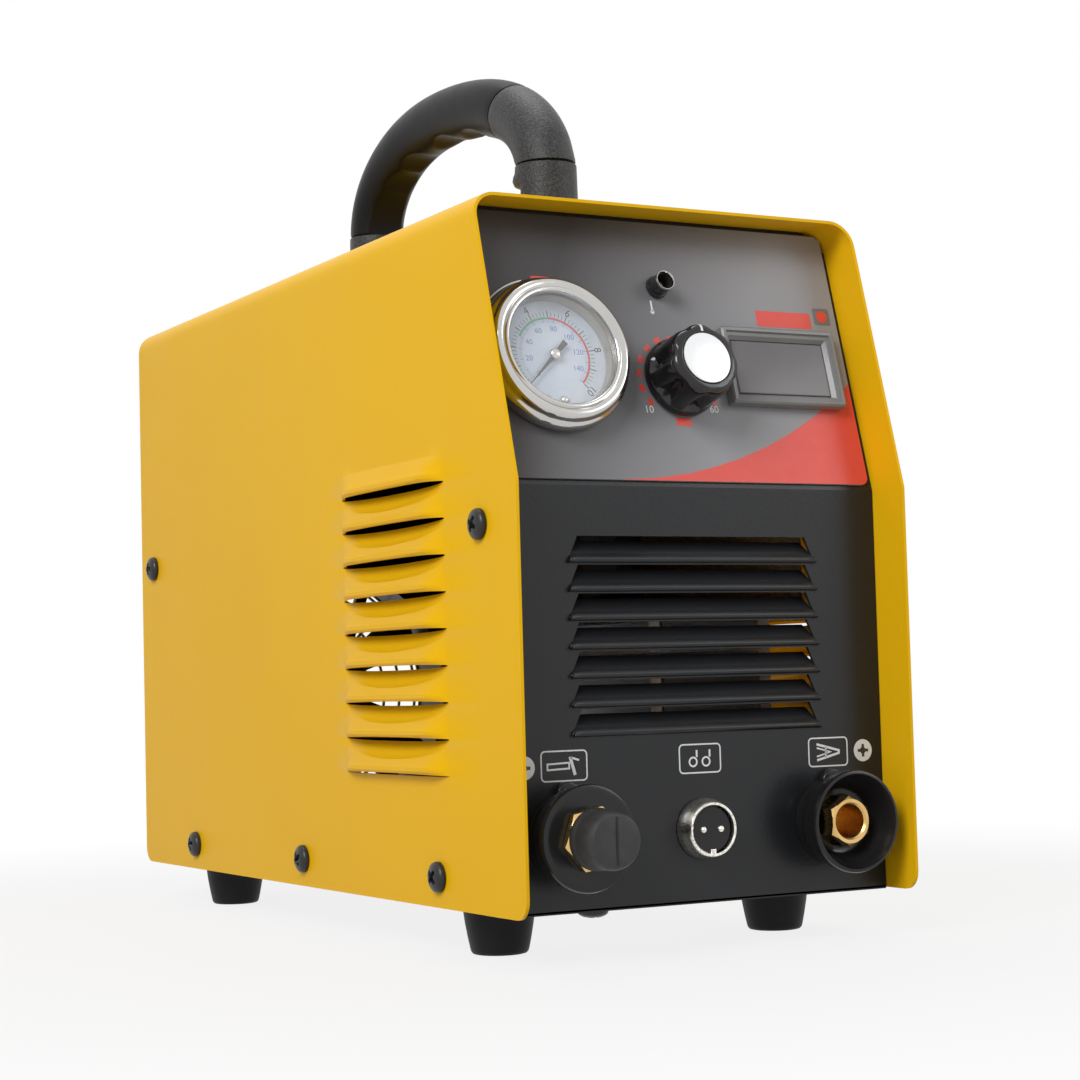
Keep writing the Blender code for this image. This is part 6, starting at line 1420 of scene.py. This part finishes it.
place(to_object("rocker_cap", rocker_mesh(), rocker_plastic, 30), rocker_frame, "rocker_red", "power_rocker",
      body="rocker")
axle = mm((0, 12.4), (1.4, 12.4), (1.6, 12.1), (1.6, -12.1), (1.4, -12.4), (0, -12.4))
turned("rocker_axle", axle, steel, rocker_frame @ Matrix.Rotation(math.pi / 2, 4, "Y"), "rocker_red", facets=32,
       angle=40, body="rocker")
upper = math.atan2(ROCKER_TIP - ROCKER_MIDDLE, 0.0065)
bar, zero = stroke([(-0.0022, 0), (0.0022, 0)], 0.0006), sector((0, 0), 0.0013, 0.0018, 0, 2 * math.pi, 28)
for state, marks, lean, y in (("on", bar, upper, 0.0043), ("off", zero, -upper, -0.0043)):
    height = ROCKER_MIDDLE + (ROCKER_TIP - ROCKER_MIDDLE) * (abs(y) / ROCKER_HALF) ** 1.7 + 0.0001
    mark_frame = rocker_frame @ Matrix.Translation((0, y, height)) @ Matrix.Rotation(lean, 4, "X")
    printed(f"rocker_mark_{state}", marks, white_ink, mark_frame, 0.0, "rocker_red", "rocker")


# Cable gland: black nylon, with a hexagon flange against the panel, a ribbed dome nut outside and a flat nut
# inside. No cord is led through it.
nylon = moulded("gland_nylon", (0.028, 0.028, 0.029), 0.46, 900)
gland_frame = rear @ Matrix.Translation((*GLAND_AT, 0))
hexagon("gland_flange", 0.022, SEAT, 0.0045, 0.0052, nylon, gland_frame, "gland_plastic", "cable_gland")


def ribbed(radius, height, turn):
    rib = 0.00035 * (1 - abs(math.sin(14 * turn))) if 0.0055 < height < 0.0155 and radius > 0.008 else 0.0
    return radius - rib, height


dome = mm((5, 4.4), (9, 4.4), (9.5, 4.8), (9.5, 5.6), (9.5, 8), (9.5, 12), (9.5, 15.4), (9.4, 16.2),
          (9.1, 17.2), (8.5, 18.4), (7.6, 19.3), (6.4, 19.9), (5.6, 20), (5, 19.6))
turned("gland_dome", dome, nylon, gland_frame, "gland_plastic", facets=168, angle=35, shape=ribbed)
stem = mm((5, 4), (7.8, 4), (7.8, -11.2), (5, -11.2))
turned("gland_stem", stem, nylon, gland_frame, "gland_plastic", angle=35)
hexagon("gland_nut", 0.021, -0.0055, -0.0015, 0.008, nylon, gland_frame, "gland_plastic")


# Air inlet: a turned brass hexagon with a barbed tail for the air hose outside. Its stem goes through the
# panel and is held by a nut inside.
inlet_frame = rear @ Matrix.Translation((*INLET_AT, 0))
hexagon("inlet_hexagon", 0.017, SEAT, 0.0063, 0.004, brass, inlet_frame, "valve_brass", "air_inlet")
barbs = mm((2.2, 27.8), (2.4, 28), (3.4, 28))
for i in range(4):
    low = 0.028 - (i + 1) * 0.004675
    barbs += [(0.0037, low + 0.0042), (0.0047, low + 0.0014), (0.0048, low + 0.0011), (0.0046, low + 0.0005),
              (0.0036, low + 0.0001)]
barbs += mm((3.6, 6.6), (4.4, 5.5), (2.2, 5.5))
turned("inlet_barbs", barbs, brass, inlet_frame, "valve_brass")
inner_tail = mm((0, 6), (3.8, 6), (3.8, 0.3), (6.2, 0.3), (6.2, -13.2), (2.6, -13.2), (2.6, -22.2), (0, -22.2))
turned("inlet_stem", inner_tail, brass, inlet_frame, "valve_brass", facets=48)
hexagon("inlet_nut", 0.017, -0.0045, -0.0015, 0.0064, brass, inlet_frame, "valve_brass")


# Earth bolt: a plated steel stud with rolled thread and a hexagon nut. It stands near the panel's edge, beside
# the switch and clear of the air inlet.
stud_frame = rear @ Matrix.Translation((*EARTH_AT, 0))
thread = mm((0, 11), (2.4, 11), (2.9, 10.5))
for i in range(7):
    thread += [(0.003, 0.0102 - 0.0008 * i), (0.003, 0.01 - 0.0008 * i), (0.0026, 0.0097 - 0.0008 * i),
               (0.0026, 0.0095 - 0.0008 * i)]
thread += mm((3, 4.4), (3, -7.2), (0, -7.2))
turned("earth_stud", thread, steel, stud_frame, "shaft_steel", "earth_bolt", facets=48)
hexagon("earth_nut", 0.01, SEAT, 0.0045, 0.0032, steel, stud_frame, "shaft_steel")


# Inside: a zinc-plated tray, two extruded heat sinks, the power board on them, a transformer, and the air
# valve with its hose. Their shapes are right as they are; their finishes follow the place on each piece.
def zone(finish, axis, edge):
    """1 above a place along one axis, 0 below it."""
    return finish.add("ShaderNodeSeparateXYZ", {}, {"Vector": finish.place()})[axis].step(edge, 0.0002)


zinc = bright_metal("zinc_plate", (0.56, 0.57, 0.57), 0.4, 0.2, 120)
dress(zinc, "base_tray")
raw_aluminium = bright_metal("sink_extrusion", (0.66, 0.66, 0.67), 0.46, 0.16, 90)
dress(raw_aluminium, "heat_sink_front", "heat_sink_rear")

board_low, board_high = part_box("power_board")
board_finish = Finish("board_and_parts", (0.02, 0.09, 0.035), 0.42)
above = zone(board_finish, "Z", board_low.z + 0.0018)
upper_face = board_finish.blend(above, (0.018, 0.085, 0.032), (0.018, 0.02, 0.026))
choke_side = zone(board_finish, "X", (board_low.x + board_high.x) / 2 + 0.006)
board_finish.set("Base Color", board_finish.blend(above * choke_side, upper_face, (0.16, 0.07, 0.035)))
board_finish.uneven(0.36, 0.2, 180, 3)
dress(board_finish, "power_board")

# A sheet of pressboard stands on the board's right edge and keeps the live parts from the cover.
pressboard = Finish("pressboard", (0.55, 0.42, 0.22), 0.6)
fibres = pressboard.noise(260, 4, 0.6, (1, 1, 5))
pressboard.set("Base Color", pressboard.blend(fibres.step(0.5, 0.2), (0.46, 0.34, 0.17), (0.66, 0.52, 0.3)))
pressboard.set("Roughness", 0.5 + 0.2 * fibres)
sheet = bmesh.new()
edge_x, high_z = board_high.x + 0.0008, board_low.z + 0.056
first_y, last_y = board_low.y + 0.002, board_high.y - 0.03
profile = [(edge_x - 0.012, board_low.z + 0.0021), (edge_x - 0.0006, board_low.z + 0.0021),
           (edge_x, board_low.z + 0.0028), (edge_x, high_z - 0.004), (edge_x - 0.0015, high_z)]
rows = [[sheet.verts.new((x, y, z)) for y in (first_y, last_y)] for x, z in profile]
skin(sheet, rows, closed=False)
barrier = to_object("insulation_sheet", sheet, pressboard)
thicken(barrier, 0.0005, offset=0)
link(barrier, "board_green")

core_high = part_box("transformer")[1]
core_finish = Finish("ferrite_and_winding", (0.05, 0.05, 0.055), 0.5)
wound = zone(core_finish, "Z", core_high.z - 0.0046)
turns = core_finish.noise(400, 2, 0.5, (1, 6, 1))
lacquered = core_finish.blend(turns.step(0.5, 0.12), (0.22, 0.07, 0.02), (0.4, 0.15, 0.05))
core_finish.set("Base Color", core_finish.blend(1 - wound, lacquered, (0.045, 0.045, 0.05)))
core_finish.uneven(0.34, 0.25, 220, 3)
dress(core_finish, "transformer")

valve_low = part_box("air_valve")[0]
valve_finish = Finish("valve_brass_and_coil", (0.55, 0.36, 0.14), 0.34)
coil = zone(valve_finish, "Z", valve_low.z + 0.0222)
valve_finish.set("Base Color", valve_finish.blend(coil, (0.55, 0.36, 0.14), (0.02, 0.02, 0.022)))
valve_finish.set("Metallic", 1 - coil)
valve_finish.uneven(0.3, 0.2, 200, 3)
dress(valve_finish, "air_valve")
hose_finish = moulded("hose_polyurethane", (0.025, 0.085, 0.28), 0.3, 500)
dress(hose_finish, "air_hose")
japanned = moulded("gauge_case_black", (0.022, 0.022, 0.023), 0.38, 700)
dress(japanned, "gauge_case")
dress(steel, "potentiometer", "knob_shaft")
